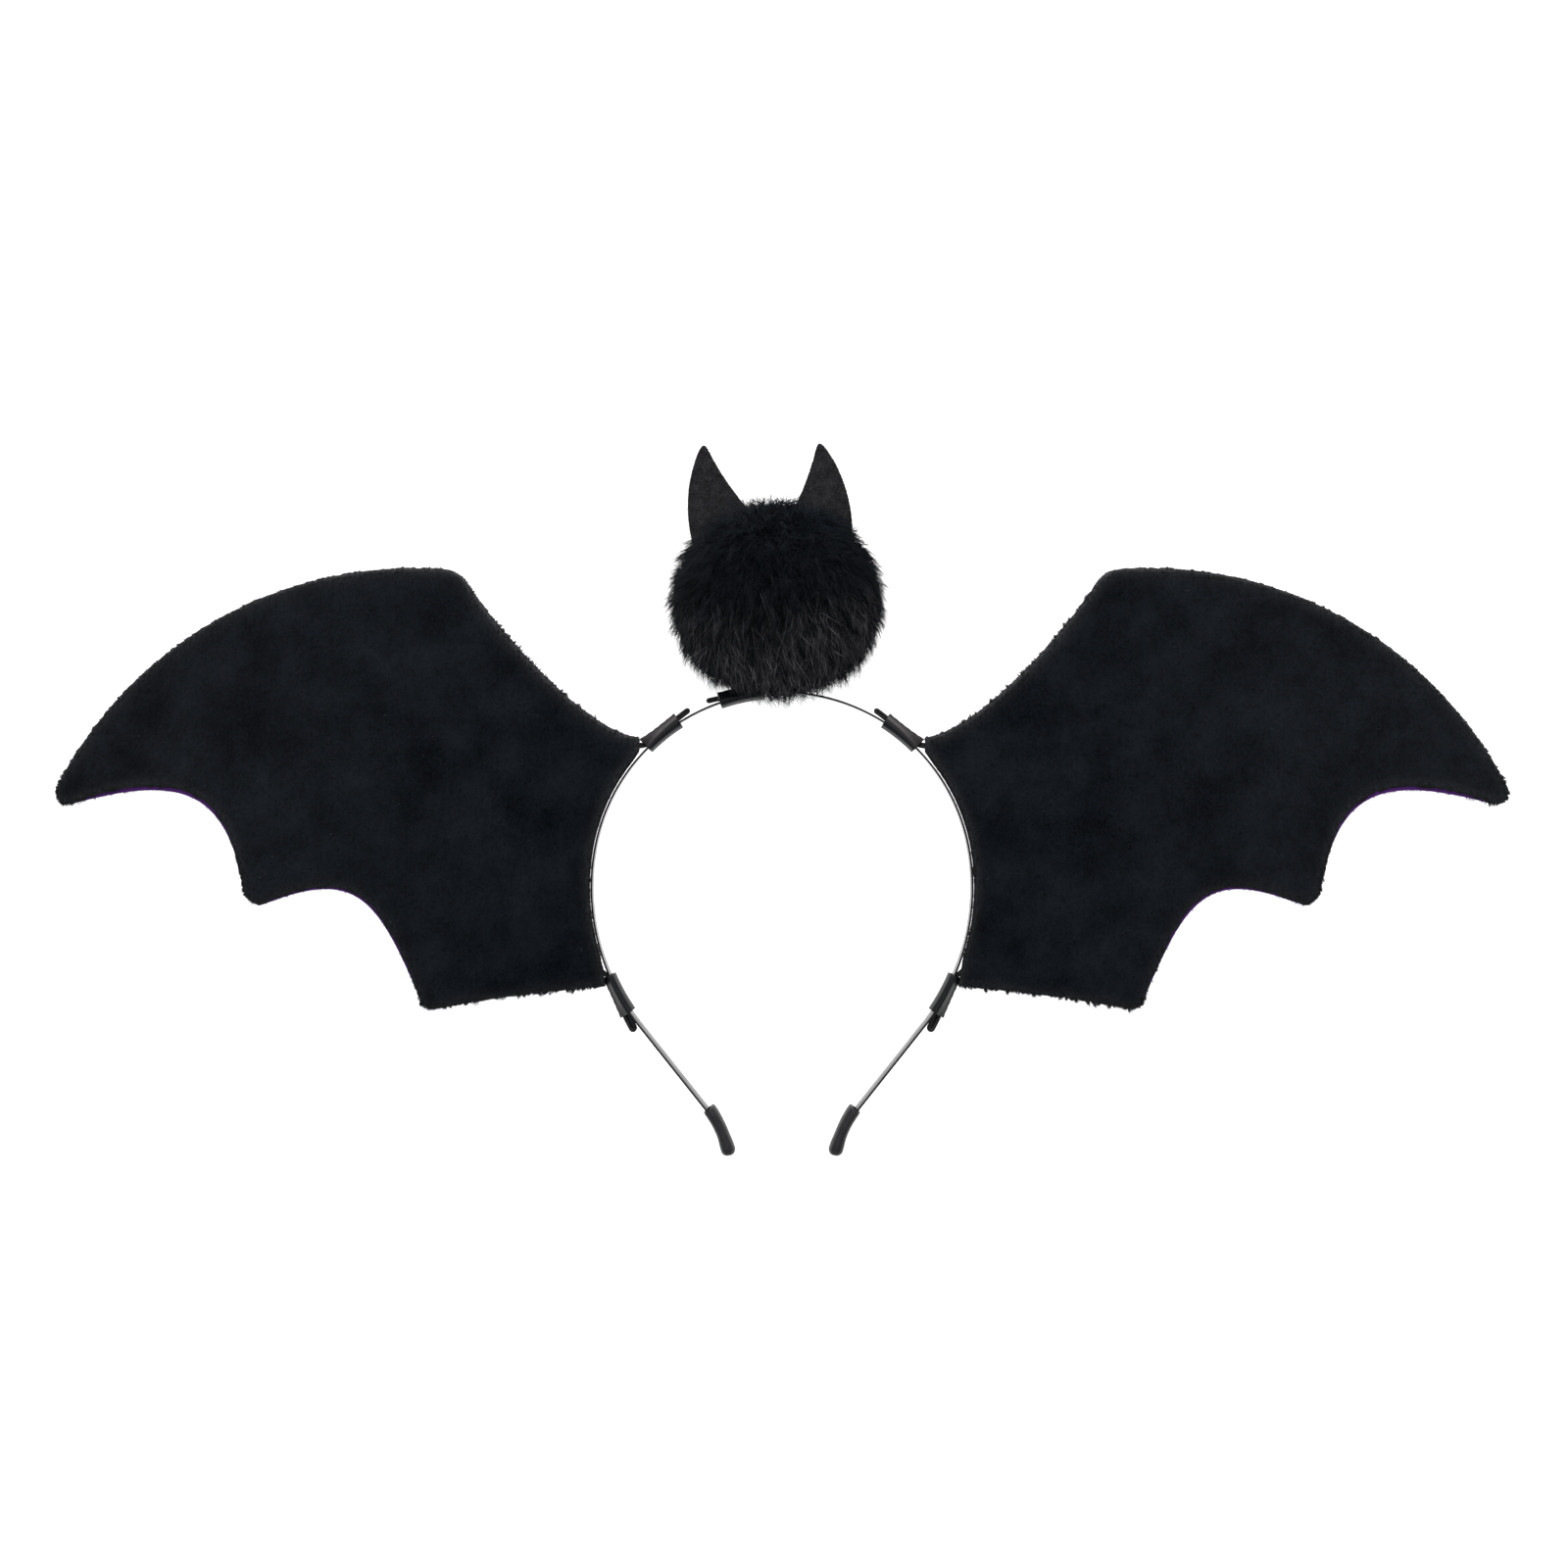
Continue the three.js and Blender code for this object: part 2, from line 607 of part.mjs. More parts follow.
// A leaf between a straight inner edge and a bulging outer edge, cupped across; margin makes it larger.
function ear({ side, tipX, tipY }, margin = 0) {
  const tip = new THREE.Vector2(0, 0);
  const outer = bezier(tip, new THREE.Vector2(EAR_OUTER.pullX, EAR_OUTER.pullY),
    new THREE.Vector2(EAR_OUTER.turnX, EAR_OUTER.turnY), new THREE.Vector2(EAR_OUTER.endX, EAR_OUTER.endY));
  const half = EAR_THICKNESS / 2 + margin;
  const longer = 1 + (2 * margin) / Math.abs(EAR_INNER.y);
  const rings = Array.from({ length: EAR_ROWS }, (_, row) => {
    const down = Math.max(EAR_BLUNT, (row / (EAR_ROWS - 1)) ** EAR_CROWDING);
    const from = new THREE.Vector2(EAR_INNER.x, EAR_INNER.y).multiplyScalar(down * longer);
    const to = outer.getPoint(down).multiplyScalar(longer);
    from.x -= margin;
    to.x += margin;
    const across = Array.from({ length: EAR_COLUMNS + 1 }, (__, i) => {
      const share = i / EAR_COLUMNS;
      const place = from.clone().lerp(to, share);
      const bow = 4 * share * (1 - share);
      return { place, cup: -EAR_CUP * bow * down, half: half * THREE.MathUtils.lerp(EAR_RIM, 1, bow) };
    });
    const face = (turned) => across.map((p) =>
      new THREE.Vector3(side * p.place.x, p.place.y, p.cup + turned * p.half));
    return [...face(1), ...face(-1).toReversed()];
  });
  const geometry = loft(rings);
  return geometry.rotateZ(degToRad(EAR_LEAN_DEG)).translate(tipX, tipY, POMPOM.z);
}

// Fur ball

// A repeatable number between 0 and 1 for each lock.
function varied(i) {
  const wave = Math.sin(i * LOCK_SCATTER.turn) * LOCK_SCATTER.stretch;
  return wave - Math.floor(wave);
}

// The head's facets each rise to the tip of a lock, which hangs towards the band.
function furLocks() {
  const head = new THREE.IcosahedronGeometry(POMPOM_HEAD, LOCK_DETAIL);
  const corners = head.getAttribute('position');
  const points = [];
  for (let i = 0; i < corners.count; i += 3) {
    const [a, b, c] = [0, 1, 2].map((k) => new THREE.Vector3().fromBufferAttribute(corners, i + k));
    const tip = a.clone().add(b).add(c).setLength(POMPOM_REACH - LOCK_VARIES * varied(i));
    tip.y -= LOCK_DROOP;
    points.push(a, b, tip, b, c, tip, c, a, tip);
  }
  return new THREE.BufferGeometry().setFromPoints(points);
}

// The room that the strip, its sleeve and the wire take below the ball.
function tieRoom() {
  const section = sleeveSection(SLEEVE_WALL + GAP, INNER_STRAND + STRAND_PITCH + SLEEVE_FORM.at(-1).swell);
  const stations = Array.from({ length: TIE_ROOM.steps + 1 }, (_, i) =>
    THREE.MathUtils.lerp(TIE_ROOM.from, TIE_ROOM.to, i / TIE_ROOM.steps));
  return loft(stations.map((along) => ringBeside(along, section)));
}

function stemRoom() {
  const root = hairpin(POMPOM_TIE, -1).slice(0, 2);
  return wireAlong([...pompomStem(STEM_TOP + GAP), ...root], WIRE_RADIUS + STEM_ROOM);
}

// The ball less the room for its neighbours, and for the floor that presses it flat.
function pompom(floorBlock) {
  const locks = furLocks().scale(1, POMPOM_SQUAT, 1);
  let ball = toSolid(locks.translate(POMPOM.x, POMPOM.y, POMPOM.z));
  const rooms = [tieRoom(), stemRoom(), floorBlock, ...EARS.map((row) => ear(row, GAP))];
  for (const room of rooms) {
    ball = ball.subtract(toSolid(room));
  }
  return toGeometry(largestBody(ball));
}

// Assembly

const laid = new THREE.Group();
laid.rotation.x = degToRad(LIE_DEG);

laid.add(piece('band', band(), 'enamel'));
laid.add(piece('pompom_sleeve', sleeve(POMPOM_TIE, -1), 'sleeve'));
laid.add(piece('pompom_wire', pompomWire(), 'wire'));
for (const row of EARS) {
  laid.add(piece(row.name, ear(row), 'felt'));
}
for (const [suffix, side] of [['left', -1], ['right', 1]]) {
  const half = new THREE.Group();
  half.scale.x = side;
  half.add(...wingPieces(suffix));
  half.add(piece(`end_cap_${suffix}`, endCap(), 'rubber'));
  half.add(piece(`wing_wire_upper_${suffix}`, wingWire(UPPER_TIE, UPPER_ROOT, UPPER_RETURN), 'wire'));
  half.add(piece(`wing_wire_lower_${suffix}`, wingWire(LOWER_TIE, LOWER_ROOT), 'wire'));
  half.add(piece(`sleeve_upper_${suffix}`, sleeve(UPPER_TIE, 1), 'sleeve'));
  half.add(piece(`sleeve_lower_${suffix}`, sleeve(LOWER_TIE, 1), 'sleeve'));
  laid.add(half);
}

// The floor touches the caps, and the ball is pressed flat where it would sink below it.
const lying = new THREE.Box3().setFromObject(laid, true);
const floorBlock = new THREE.BoxGeometry(FLOOR_BLOCK, FLOOR_BLOCK, FLOOR_BLOCK);
const ballHeight = POMPOM.y * Math.cos(laid.rotation.x);
floorBlock.translate(POMPOM.x, ballHeight, lying.min.z - FLOOR_BLOCK / 2);
floorBlock.applyMatrix4(laid.matrixWorld.clone().invert());
laid.add(piece('pompom', pompom(floorBlock), 'fur'));

const whole = new THREE.Box3().setFromObject(laid, true);
laid.position.set(-(whole.min.x + whole.max.x) / 2, -(whole.min.y + whole.max.y) / 2, -whole.min.z);

const headband = new THREE.Group();
headband.add(laid);

export default headband;
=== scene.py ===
# Bat headband: its finishes and soft pieces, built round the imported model.
# Shapes are worked out in millimetres in the headband's own plane: x to the right, y towards the ears,
# z to the front, and the strip's circle round the origin. lay() puts them in the model's frame, in metres.

from math import cos, inf, pi, radians, sin, sqrt, tan

import bpy
import numpy as np
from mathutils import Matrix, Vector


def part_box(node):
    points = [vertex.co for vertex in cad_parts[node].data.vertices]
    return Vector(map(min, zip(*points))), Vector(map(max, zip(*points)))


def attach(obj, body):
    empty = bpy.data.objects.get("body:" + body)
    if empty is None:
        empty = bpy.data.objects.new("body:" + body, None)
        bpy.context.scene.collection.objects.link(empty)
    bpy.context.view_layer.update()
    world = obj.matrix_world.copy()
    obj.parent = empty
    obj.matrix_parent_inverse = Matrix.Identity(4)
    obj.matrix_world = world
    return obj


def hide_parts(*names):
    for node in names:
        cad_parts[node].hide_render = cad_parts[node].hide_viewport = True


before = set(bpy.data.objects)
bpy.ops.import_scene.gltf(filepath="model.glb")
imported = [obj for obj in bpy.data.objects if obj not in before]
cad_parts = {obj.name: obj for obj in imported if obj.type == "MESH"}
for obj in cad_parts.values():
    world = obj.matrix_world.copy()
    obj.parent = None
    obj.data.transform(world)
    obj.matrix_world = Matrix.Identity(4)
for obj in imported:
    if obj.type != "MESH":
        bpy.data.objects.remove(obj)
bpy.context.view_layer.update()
print("frame loaded:", len(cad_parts), "nodes")

mm = 0.001
clearance = 0.3   # room between pieces that touch on the real headband
fullTurn = 2 * pi

# Where the headband lies

strip = {
    "radius": 59.4, "turnDeg": 80,            # the circle round the head
    "openingRadius": 69, "openingDeg": 48.5,  # where it opens out
    "leg": 34.1,
    "twistDeg": 5, "twistFrom": 112, "twistTo": 134,  # the legs show a little of their inner face
    "capBend": -33, "capLength": 15.95, "capGrip": 12,
    "width": 6, "thickness": 0.6, "edgeRound": 0.28,
    "stations": 360, "perCorner": 4,
    "lieDeg": 6.8,                            # lean of its plane when it lies on its back
}
lie = radians(strip["lieDeg"])
cosLie, sinLie = cos(lie), sin(lie)
leanTurn = np.array([(1, 0, 0), (0, cosLie, sinLie), (0, -sinLie, cosLie)])
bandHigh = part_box("band")[1]
originY = bandHigh.y / mm - (strip["radius"] + strip["thickness"] / 2) * cosLie \
    - (strip["width"] / 2 - strip["edgeRound"]) * sinLie
originZ = bandHigh.z / mm - strip["radius"] * sinLie - strip["width"] / 2 * cosLie
origin = np.array([0, originY, originZ])


# a turn about x by the lean, and then the shift to the model's origin
def lay(points):
    return mm * (np.asarray(points, float) @ leanTurn + origin)


# the way back, for what is settled by the floor
def unlay(points):
    return (points / mm - origin) @ leanTurn.T


# Camera

view = {"distance": 650, "aim": (0.64, 30.75, 3), "field": 489.6, "sensor": 36}


def addObject(name, data):
    made = bpy.data.objects.new(name, data)
    bpy.context.scene.collection.objects.link(made)
    return made


def addCamera():
    data = bpy.data.cameras.new("camera")
    data.sensor_width = view["sensor"]
    data.lens = view["distance"] * view["sensor"] / view["field"]
    camera = addObject("camera", data)
    x, y, z = view["aim"]
    camera.location = lay((x, y, z + view["distance"]))
    camera.rotation_euler = (lie, 0, 0)
    bpy.context.scene.camera = camera


addCamera()

# Mesh helpers


# corner numbers of every cell of a grid of points, which may close on itself either way
def quadGrid(rows, columns, wrapRows=False, wrapColumns=False):
    number = np.arange(rows * columns).reshape(rows, columns)
    if wrapRows:
        number = np.vstack([number, number[:1]])
    if wrapColumns:
        number = np.hstack([number, number[:, :1]])
    cells = [number[:-1, :-1], number[1:, :-1], number[1:, 1:], number[:-1, 1:]]
    return np.stack(cells, -1).reshape(-1, 4)


# rings of points joined in turn, with a fan over each end
def loft(rings):
    count, sides = rings.shape[:2]
    points = np.concatenate([rings.reshape(-1, 3), rings[[0, -1]].mean(1)])
    number = np.arange(count * sides).reshape(count, sides)
    start = np.full(sides, count * sides)
    firstFan = np.stack([number[0], np.roll(number[0], -1), start], 1)
    lastFan = np.stack([np.roll(number[-1], -1), number[-1], start + 1], 1)
    return points, [quadGrid(count, sides, wrapColumns=True), firstFan, lastFan]


# the faces are turned to point outwards, by the sign of the volume that they close in
def turnedOut(points, faceSets):
    fans = [face[:, [0, k, k + 1]] for face in faceSets for k in range(1, face.shape[1] - 1)]
    a, b, c = (points[np.concatenate(fans)[:, k]].astype(float) for k in range(3))
    if (a * np.cross(b, c)).sum() < 0:
        return [face[:, ::-1] for face in faceSets]
    return faceSets


def addPiece(name, points, faceSets, material, slotName, stands=(), values=None):
    placed = lay(points).astype(np.float32)
    placed[:, 2] = np.maximum(placed[:, 2], 0)   # nothing reaches below the floor
    faceSets = turnedOut(placed, faceSets)
    corners = np.concatenate([face.ravel() for face in faceSets]).astype(np.int32)
    sizes = np.concatenate([np.full(len(face), face.shape[1]) for face in faceSets])
    starts = np.concatenate([[0], np.cumsum(sizes)[:-1]]).astype(np.int32)
    mesh = bpy.data.meshes.new(name)
    mesh.vertices.add(len(placed))
    mesh.vertices.foreach_set("co", placed.ravel())
    mesh.loops.add(len(corners))
    mesh.loops.foreach_set("vertex_index", corners)
    mesh.polygons.add(len(sizes))
    mesh.polygons.foreach_set("loop_start", starts)
    mesh.polygons.foreach_set("use_smooth", np.ones(len(sizes), bool))
    mesh.update(calc_edges=True)
    mesh.validate()
    for label, value in (values or {}).items():
        attribute = mesh.attributes.new(label, "FLOAT", "POINT")
        attribute.data.foreach_set("value", value.astype(np.float32).ravel())
    mesh.materials.append(material)
    piece = addObject(name, mesh)
    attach(piece, "root")
    if stands:
        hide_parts(*stands)
    return piece


def unit(vectors):
    return vectors / np.maximum(np.linalg.norm(vectors, axis=-1, keepdims=True), 1e-9)


def evenAngles(count):
    return np.linspace(0, fullTurn, count, endpoint=False)


# shares from 0 to 1 that lie closer together towards their ends
def eased(count):
    return (1 - np.cos(pi * np.linspace(0, 1, count))) / 2


# steps round a place at some angles, from two directions across it
def ringOf(angle, across, other):
    return np.cos(angle)[:, None] * across[..., None, :] + np.sin(angle)[:, None] * other[..., None, :]


def mirrored(points, side):
    return np.asarray(points) * np.array([side, 1, 1])


# a smooth curve through points: cubic pieces whose slopes follow the neighbours and their distances
def smoothPath(points, count, closed=False):
    points = np.asarray(points, float)
    if closed:
        points = np.concatenate([points[-2:], points, points[:3]])
    gaps = np.linalg.norm(np.diff(points, axis=0), axis=1)
    place = np.concatenate([[0], np.cumsum(gaps)])
    slope = np.gradient(points, place, axis=0)
    first, last = (place[2], place[-3]) if closed else (place[0], place[-1])
    at = np.linspace(first, last, count, endpoint=not closed)
    i = np.clip(np.searchsorted(place, at, side="right") - 1, 0, len(gaps) - 1)
    t = ((at - place[i]) / gaps[i])[:, None]
    reach = gaps[i][:, None]
    rise = t * t * (3 - 2 * t)
    return (points[i] * (1 - rise) + points[i + 1] * rise
            + slope[i] * reach * t * (1 - t) ** 2 - slope[i + 1] * reach * t * t * (1 - t))


# a few sine waves in random directions added up, about -1 to 1
def ripples(x, y, wavelength, seed, count=9, spread=(0.7, 1.5)):
    rng = np.random.default_rng(seed)
    heading = rng.uniform(0, fullTurn, count)
    number = fullTurn / (wavelength * rng.uniform(*spread, count))
    phase = rng.uniform(0, fullTurn, count)
    waves = [np.sin(n * (x * cos(h) + y * sin(h)) + p)
             for h, n, p in zip(heading, number, phase)]
    return np.sum(waves, 0) / sqrt(2 * count)


# Shader helpers


def addNode(tree, kind, inputs=None, **settings):
    node = tree.nodes.new("ShaderNode" + kind)
    for label, value in settings.items():
        setattr(node, label, value)
    for label, value in (inputs or {}).items():
        if isinstance(value, bpy.types.NodeSocket):
            tree.links.new(value, node.inputs[label])
        else:
            node.inputs[label].default_value = value
    return node


def newGroup(name, inputs, outputs):
    group = bpy.data.node_groups.new(name, "ShaderNodeTree")
    for way, sockets in (("INPUT", inputs), ("OUTPUT", outputs)):
        for label, kind in sockets.items():
            group.interface.new_socket(label, in_out=way, socket_type="NodeSocket" + kind)
    return group, group.nodes.new("NodeGroupInput").outputs, group.nodes.new("NodeGroupOutput").inputs


def mixColour(tree, factor, first, second, blend="MIX"):
    inputs = {0: factor, 6: first, 7: second}
    return addNode(tree, "Mix", inputs, data_type="RGBA", blend_type=blend).outputs[2]


def mathNode(tree, operation, first, second):
    return addNode(tree, "Math", {0: first, 1: second}, operation=operation).outputs[0]


def noise(tree, scale, detail, roughness):
    place = addNode(tree, "TexCoord").outputs["Object"]
    inputs = {"Vector": place, "Scale": scale, "Detail": detail, "Roughness": roughness}
    return addNode(tree, "TexNoise", inputs).outputs[0]


# a value's part between two limits, spread over 0 to 1 or between two others
def spreadOut(tree, value, low, high, start=0.0, end=1.0):
    inputs = {"Value": value, "From Min": low, "From Max": high, "To Min": start, "To Max": end}
    return addNode(tree, "MapRange", inputs).outputs[0]


def attributeOf(tree, name):
    return addNode(tree, "Attribute", attribute_name=name).outputs["Fac"]


def rgb(red, green, blue):
    return (red, green, blue, 1.0)


# cloth whose pile lies this way and that in patches, with a fine grain
def makePileGroup():
    group, given, result = newGroup(
        "pileShade", {"Dark": "Color", "Light": "Color", "Patches": "Float", "Grain": "Float",
                      "Grain Share": "Float"},
        {"Color": "Color", "Height": "Float"})
    patches = spreadOut(group, noise(group, given["Patches"], 3.0, 0.6), 0.3, 0.7)
    grain = noise(group, given["Grain"], 2.0, 0.7)
    fine = spreadOut(group, grain, 0.25, 0.75)
    both = addNode(group, "Mix", {0: given["Grain Share"], 2: patches, 3: fine}).outputs[0]
    group.links.new(mixColour(group, both, given["Dark"], given["Light"]), result["Color"])
    group.links.new(grain, result["Height"])
    return group


# handling marks: faint cloudy scuffs and a fine tooth, for what is moulded, drawn or painted
def makeHandledGroup():
    group, given, result = newGroup(
        "handled", {"Clean": "Color", "Scuffed": "Color", "Clouds": "Float", "Tooth": "Float",
                    "Rough Low": "Float", "Rough High": "Float"},
        {"Color": "Color", "Roughness": "Float", "Height": "Float"})
    clouds = noise(group, given["Clouds"], 5.0, 0.65)
    scuff = spreadOut(group, clouds, 0.45, 0.75)
    rough = spreadOut(group, clouds, 0.3, 0.7, given["Rough Low"], given["Rough High"])
    group.links.new(mixColour(group, scuff, given["Clean"], given["Scuffed"]), result["Color"])
    group.links.new(rough, result["Roughness"])
    group.links.new(noise(group, given["Tooth"], 2.0, 0.5), result["Height"])
    return group


pileGroup = makePileGroup()
handledGroup = makeHandledGroup()


def newMaterial(name, shine, **constants):
    material = bpy.data.materials.new(name)
    material.use_nodes = True
    shader = material.node_tree.nodes["Principled BSDF"]
    shader.inputs["Specular IOR Level"].default_value = shine
    for label, value in constants.items():
        shader.inputs[label.replace("_", " ")].default_value = value
    return material, material.node_tree, shader


# a surface takes its looks from a group. bump is a strength and a depth in millimetres, and an attribute
# of the mesh may bring a second colour: painted light, such as a painted highlight along a rim
def surface(name, group, values, bump, second=None, **constants):
    material, tree, shader = newMaterial(name, **constants)
    made = addNode(tree, "Group", values, node_tree=group).outputs
    colour = made["Color"]
    if second:
        colour = mixColour(tree, attributeOf(tree, second[0]), colour, second[1])
    tree.links.new(colour, shader.inputs["Base Color"])
    if "Roughness" in made:
        tree.links.new(made["Roughness"], shader.inputs["Roughness"])
    inputs = {"Height": made["Height"], "Strength": bump[0], "Distance": bump[1] * mm}
    tree.links.new(addNode(tree, "Bump", inputs).outputs[0], shader.inputs["Normal"])
    return material


# fibres: darker at the root, lighter towards the tip, and each a little paler by its own share (painted light
# on the fur)
def fibreMaterial(name, root, tip, pale, **constants):
    material, tree, shader = newMaterial(name, **constants)
    along = attributeOf(tree, "alongFibre")
    tipward = mathNode(tree, "POWER", along, fibrePower)
    share = mathNode(tree, "MULTIPLY", attributeOf(tree, "fibreShade"), tipward)
    body = mixColour(tree, along, root, tip)
    tree.links.new(mixColour(tree, share, body, pale), shader.inputs["Base Color"])
    return material


# pile takes the patches of its cloth, darker at the root
def pileMaterial(name, values, rootShare, pale, **constants):
    material, tree, shader = newMaterial(name, **constants)
    cloth = addNode(tree, "Group", values, node_tree=pileGroup).outputs["Color"]
    fade = spreadOut(tree, attributeOf(tree, "alongFibre"), 0.0, 1.0, rootShare)
    body = mixColour(tree, 1.0, cloth, fade, "MULTIPLY")
    tree.links.new(mixColour(tree, attributeOf(tree, "fibreShade"), body, pale), shader.inputs["Base Color"])
    return material


# patches, grain, clouds and tooth are scales of noise, to the metre
def shades(dark, light, patches, grain, share):
    return {"Dark": rgb(*dark), "Light": rgb(*light), "Patches": patches, "Grain": grain,
            "Grain Share": share}


def marks(clean, scuffed, clouds, tooth, roughLow, roughHigh):
    return {"Clean": rgb(*clean), "Scuffed": rgb(*scuffed), "Clouds": clouds, "Tooth": tooth,
            "Rough Low": roughLow, "Rough High": roughHigh}


fibrePower = 1.5   # how closely a fibre's own paleness keeps to its tip
plushShades = shades((0.0002, 0.001, 0.0024), (0.0143, 0.0175, 0.0224), 56, 1300, 0.42)
backingShades = shades((0.12, 0.034, 0.22), (0.22, 0.068, 0.42), 60, 1600, 0.45)
# the plush's second colour is painted light: a painted highlight at the rim and a painted brightening
# outwards
plush = surface(
    "plush", pileGroup, plushShades, (0.5, 0.4), ("rimLight", rgb(0.148, 0.15, 0.157)), shine=0.03,
    Roughness=0.95, Sheen_Weight=0.02, Sheen_Roughness=0.5, Sheen_Tint=rgb(0.6, 0.7, 0.85))
plushPile = pileMaterial("plushPile", plushShades, 0.85, rgb(0.31, 0.305, 0.31), shine=0.04, Roughness=0.85)
backing = surface(
    "backing", pileGroup, backingShades, (0.5, 0.35), shine=0.05,
    Roughness=0.9, Sheen_Weight=0.08, Sheen_Roughness=0.45, Sheen_Tint=rgb(0.7, 0.5, 1.0))
backingPile = pileMaterial("backingPile", backingShades, 0.7, rgb(0.3, 0.2, 0.4), shine=0.05, Roughness=0.8)
felt = surface(
    "felt", pileGroup, shades((0.003, 0.003, 0.0034), (0.0545, 0.0533, 0.058), 300, 1500, 0.65), (0.8, 0.5),
    Roughness=0.95, shine=0.05, Sheen_Weight=0.03, Sheen_Roughness=0.5)
feltFuzz = fibreMaterial(
    "feltFuzz", rgb(0.01, 0.009, 0.0095), rgb(0.045, 0.036, 0.034), rgb(0.12, 0.09, 0.085),
    Roughness=0.8, shine=0.1)
# the fur's pale colour is painted light, laid on as streaks and a haze
fur = fibreMaterial(
    "fur", rgb(0.0036, 0.0052, 0.0072), rgb(0.0168, 0.0225, 0.0295), rgb(0.42, 0.4, 0.44),
    Roughness=0.5, shine=0.04)
furGround = surface(
    "furGround", pileGroup, shades((0.001, 0.001, 0.0012), (0.003, 0.003, 0.0034), 300, 1500, 0.5),
    (0.5, 0.6), Roughness=1.0, shine=0.1)
enamel = surface(
    "enamel", handledGroup, marks((0.002, 0.002, 0.0024), (0.005, 0.005, 0.0054), 150, 4000, 0.2, 0.3),
    (0.05, 0.05), shine=0.2)
rubber = surface(
    "rubber", handledGroup, marks((0.011, 0.011, 0.013), (0.03, 0.03, 0.033), 260, 2600, 0.5, 0.7),
    (0.35, 0.12), shine=0.4)
# the sleeve's second colour is a warm painted highlight on the ridge and the lit lobe past it
sleeveSkin = surface(
    "sleeveSkin", handledGroup, marks((0.004, 0.0053, 0.0067), (0.009, 0.0107, 0.0127), 320, 2200, 0.4, 0.55),
    (0.3, 0.1), ("paintedLobeLight", rgb(0.0225, 0.0165, 0.019)), shine=0.26)
wireCoat = surface(
    "wireCoat", handledGroup, marks((0.0145, 0.014, 0.0155), (0.034, 0.032, 0.035), 400, 3000, 0.4, 0.55),
    (0.2, 0.08), shine=0.25)
print("materials made")

# Strip


# the strip's runs from its top: the radius and the length of each, without a radius where it is straight
stripRuns = [
    (strip["radius"], strip["radius"] * radians(strip["turnDeg"])),
    (strip["openingRadius"], strip["openingRadius"] * radians(strip["openingDeg"])),
    (None, strip["leg"]), (strip["capBend"], inf),
]
capMouth = sum(length for _, length in stripRuns[:3])


# the strip's centre line and the way out from it, at lengths from its top: its runs, followed in turn
def bandPath(along):
    along = np.asarray(along, float)
    side = np.where(along < 0, -1.0, 1.0)
    left = np.abs(along)
    x = np.zeros_like(left)
    y = np.full_like(left, strip["radius"])
    heading = np.zeros_like(left)
    for radius, length in stripRuns:
        step = np.clip(left, 0, length)
        if radius is None:
            x = x + step * np.cos(heading)
            y = y - step * np.sin(heading)
        else:
            turned = heading + step / radius
            x = x + radius * (np.sin(turned) - np.sin(heading))
            y = y + radius * (np.cos(turned) - np.cos(heading))
            heading = turned
        left = left - step
    return np.stack([side * x, y], -1), np.stack([side * np.sin(heading), np.cos(heading)], -1)


# a section carried along the strip: "out" is measured from its centre line, "fore" to the front
def besideBand(along, out, fore):
    centre, outward = bandPath(along)
    out, fore = np.broadcast_arrays(np.atleast_1d(out).astype(float), np.atleast_1d(fore).astype(float))
    flat = centre[..., None, :] + outward[..., None, :] * out[..., None]
    return np.concatenate([flat, np.broadcast_to(fore[..., None], flat.shape[:-1] + (1,))], -1)


# a rectangle with round corners, corner by corner
def roundedBox(halfOut, halfFore, radius, perCorner):
    corner = np.repeat(np.arange(4), perCorner)
    angle = np.tile(np.linspace(0, pi / 2, perCorner), 4) + corner * pi / 2
    out = np.array([1, -1, -1, 1])[corner] * (halfOut - radius) + radius * np.cos(angle)
    fore = np.array([1, 1, -1, -1])[corner] * (halfFore - radius) + radius * np.sin(angle)
    return out, fore


def makeBand():
    end = capMouth + strip["capGrip"]
    along = np.linspace(-end, end, strip["stations"])
    out, fore = roundedBox(strip["thickness"] / 2, strip["width"] / 2, strip["edgeRound"], strip["perCorner"])
    share = np.interp(np.abs(along), (strip["twistFrom"], strip["twistTo"]), (0, 1))
    twisted = out + tan(radians(strip["twistDeg"])) * share[:, None] * fore
    addPiece("strip", *loft(besideBand(along, twisted, fore)), enamel, "enamel", ["band"])


makeBand()
print("strip made")

# End caps

cap = {
    "sides": 44, "rings": 40, "squareness": 2.6,
    # along its length, middle towards the head, half sizes across the strip and to the front
    "sections": [
        (0, 0.5, 1.96, 3.9), (0.05, 0.5, 2.08, 4.0), (0.35, 0.34, 1.98, 3.95), (0.6, 0.22, 2.0, 3.95),
        (0.8, 0.2, 2.24, 4), (0.87, 0.24, 2.28, 4.05), (0.92, 0.26, 2.14, 3.8), (0.955, 0.28, 1.84, 3.4),
        (0.98, 0.3, 1.38, 2.7), (0.994, 0.3, 0.82, 1.7), (1, 0.3, 0.2, 0.5),
    ],
    "socket": {"inwards": 0.275, "across": 0.875, "fore": 3.3, "squareness": 8, "depth": 12.3, "rings": 8},
}


# a rounded section: powers of the cosine and sine, from an ellipse towards a rectangle
def superEllipse(inwards, across, fore, squareness, sides):
    angle = evenAngles(sides)
    power = 2 / squareness
    out = np.sign(np.cos(angle)) * np.abs(np.cos(angle)) ** power
    front = np.sign(np.sin(angle)) * np.abs(np.sin(angle)) ** power
    inwards, across, fore = (np.asarray(v, float)[..., None] for v in (inwards, across, fore))
    return across * out - inwards, fore * front


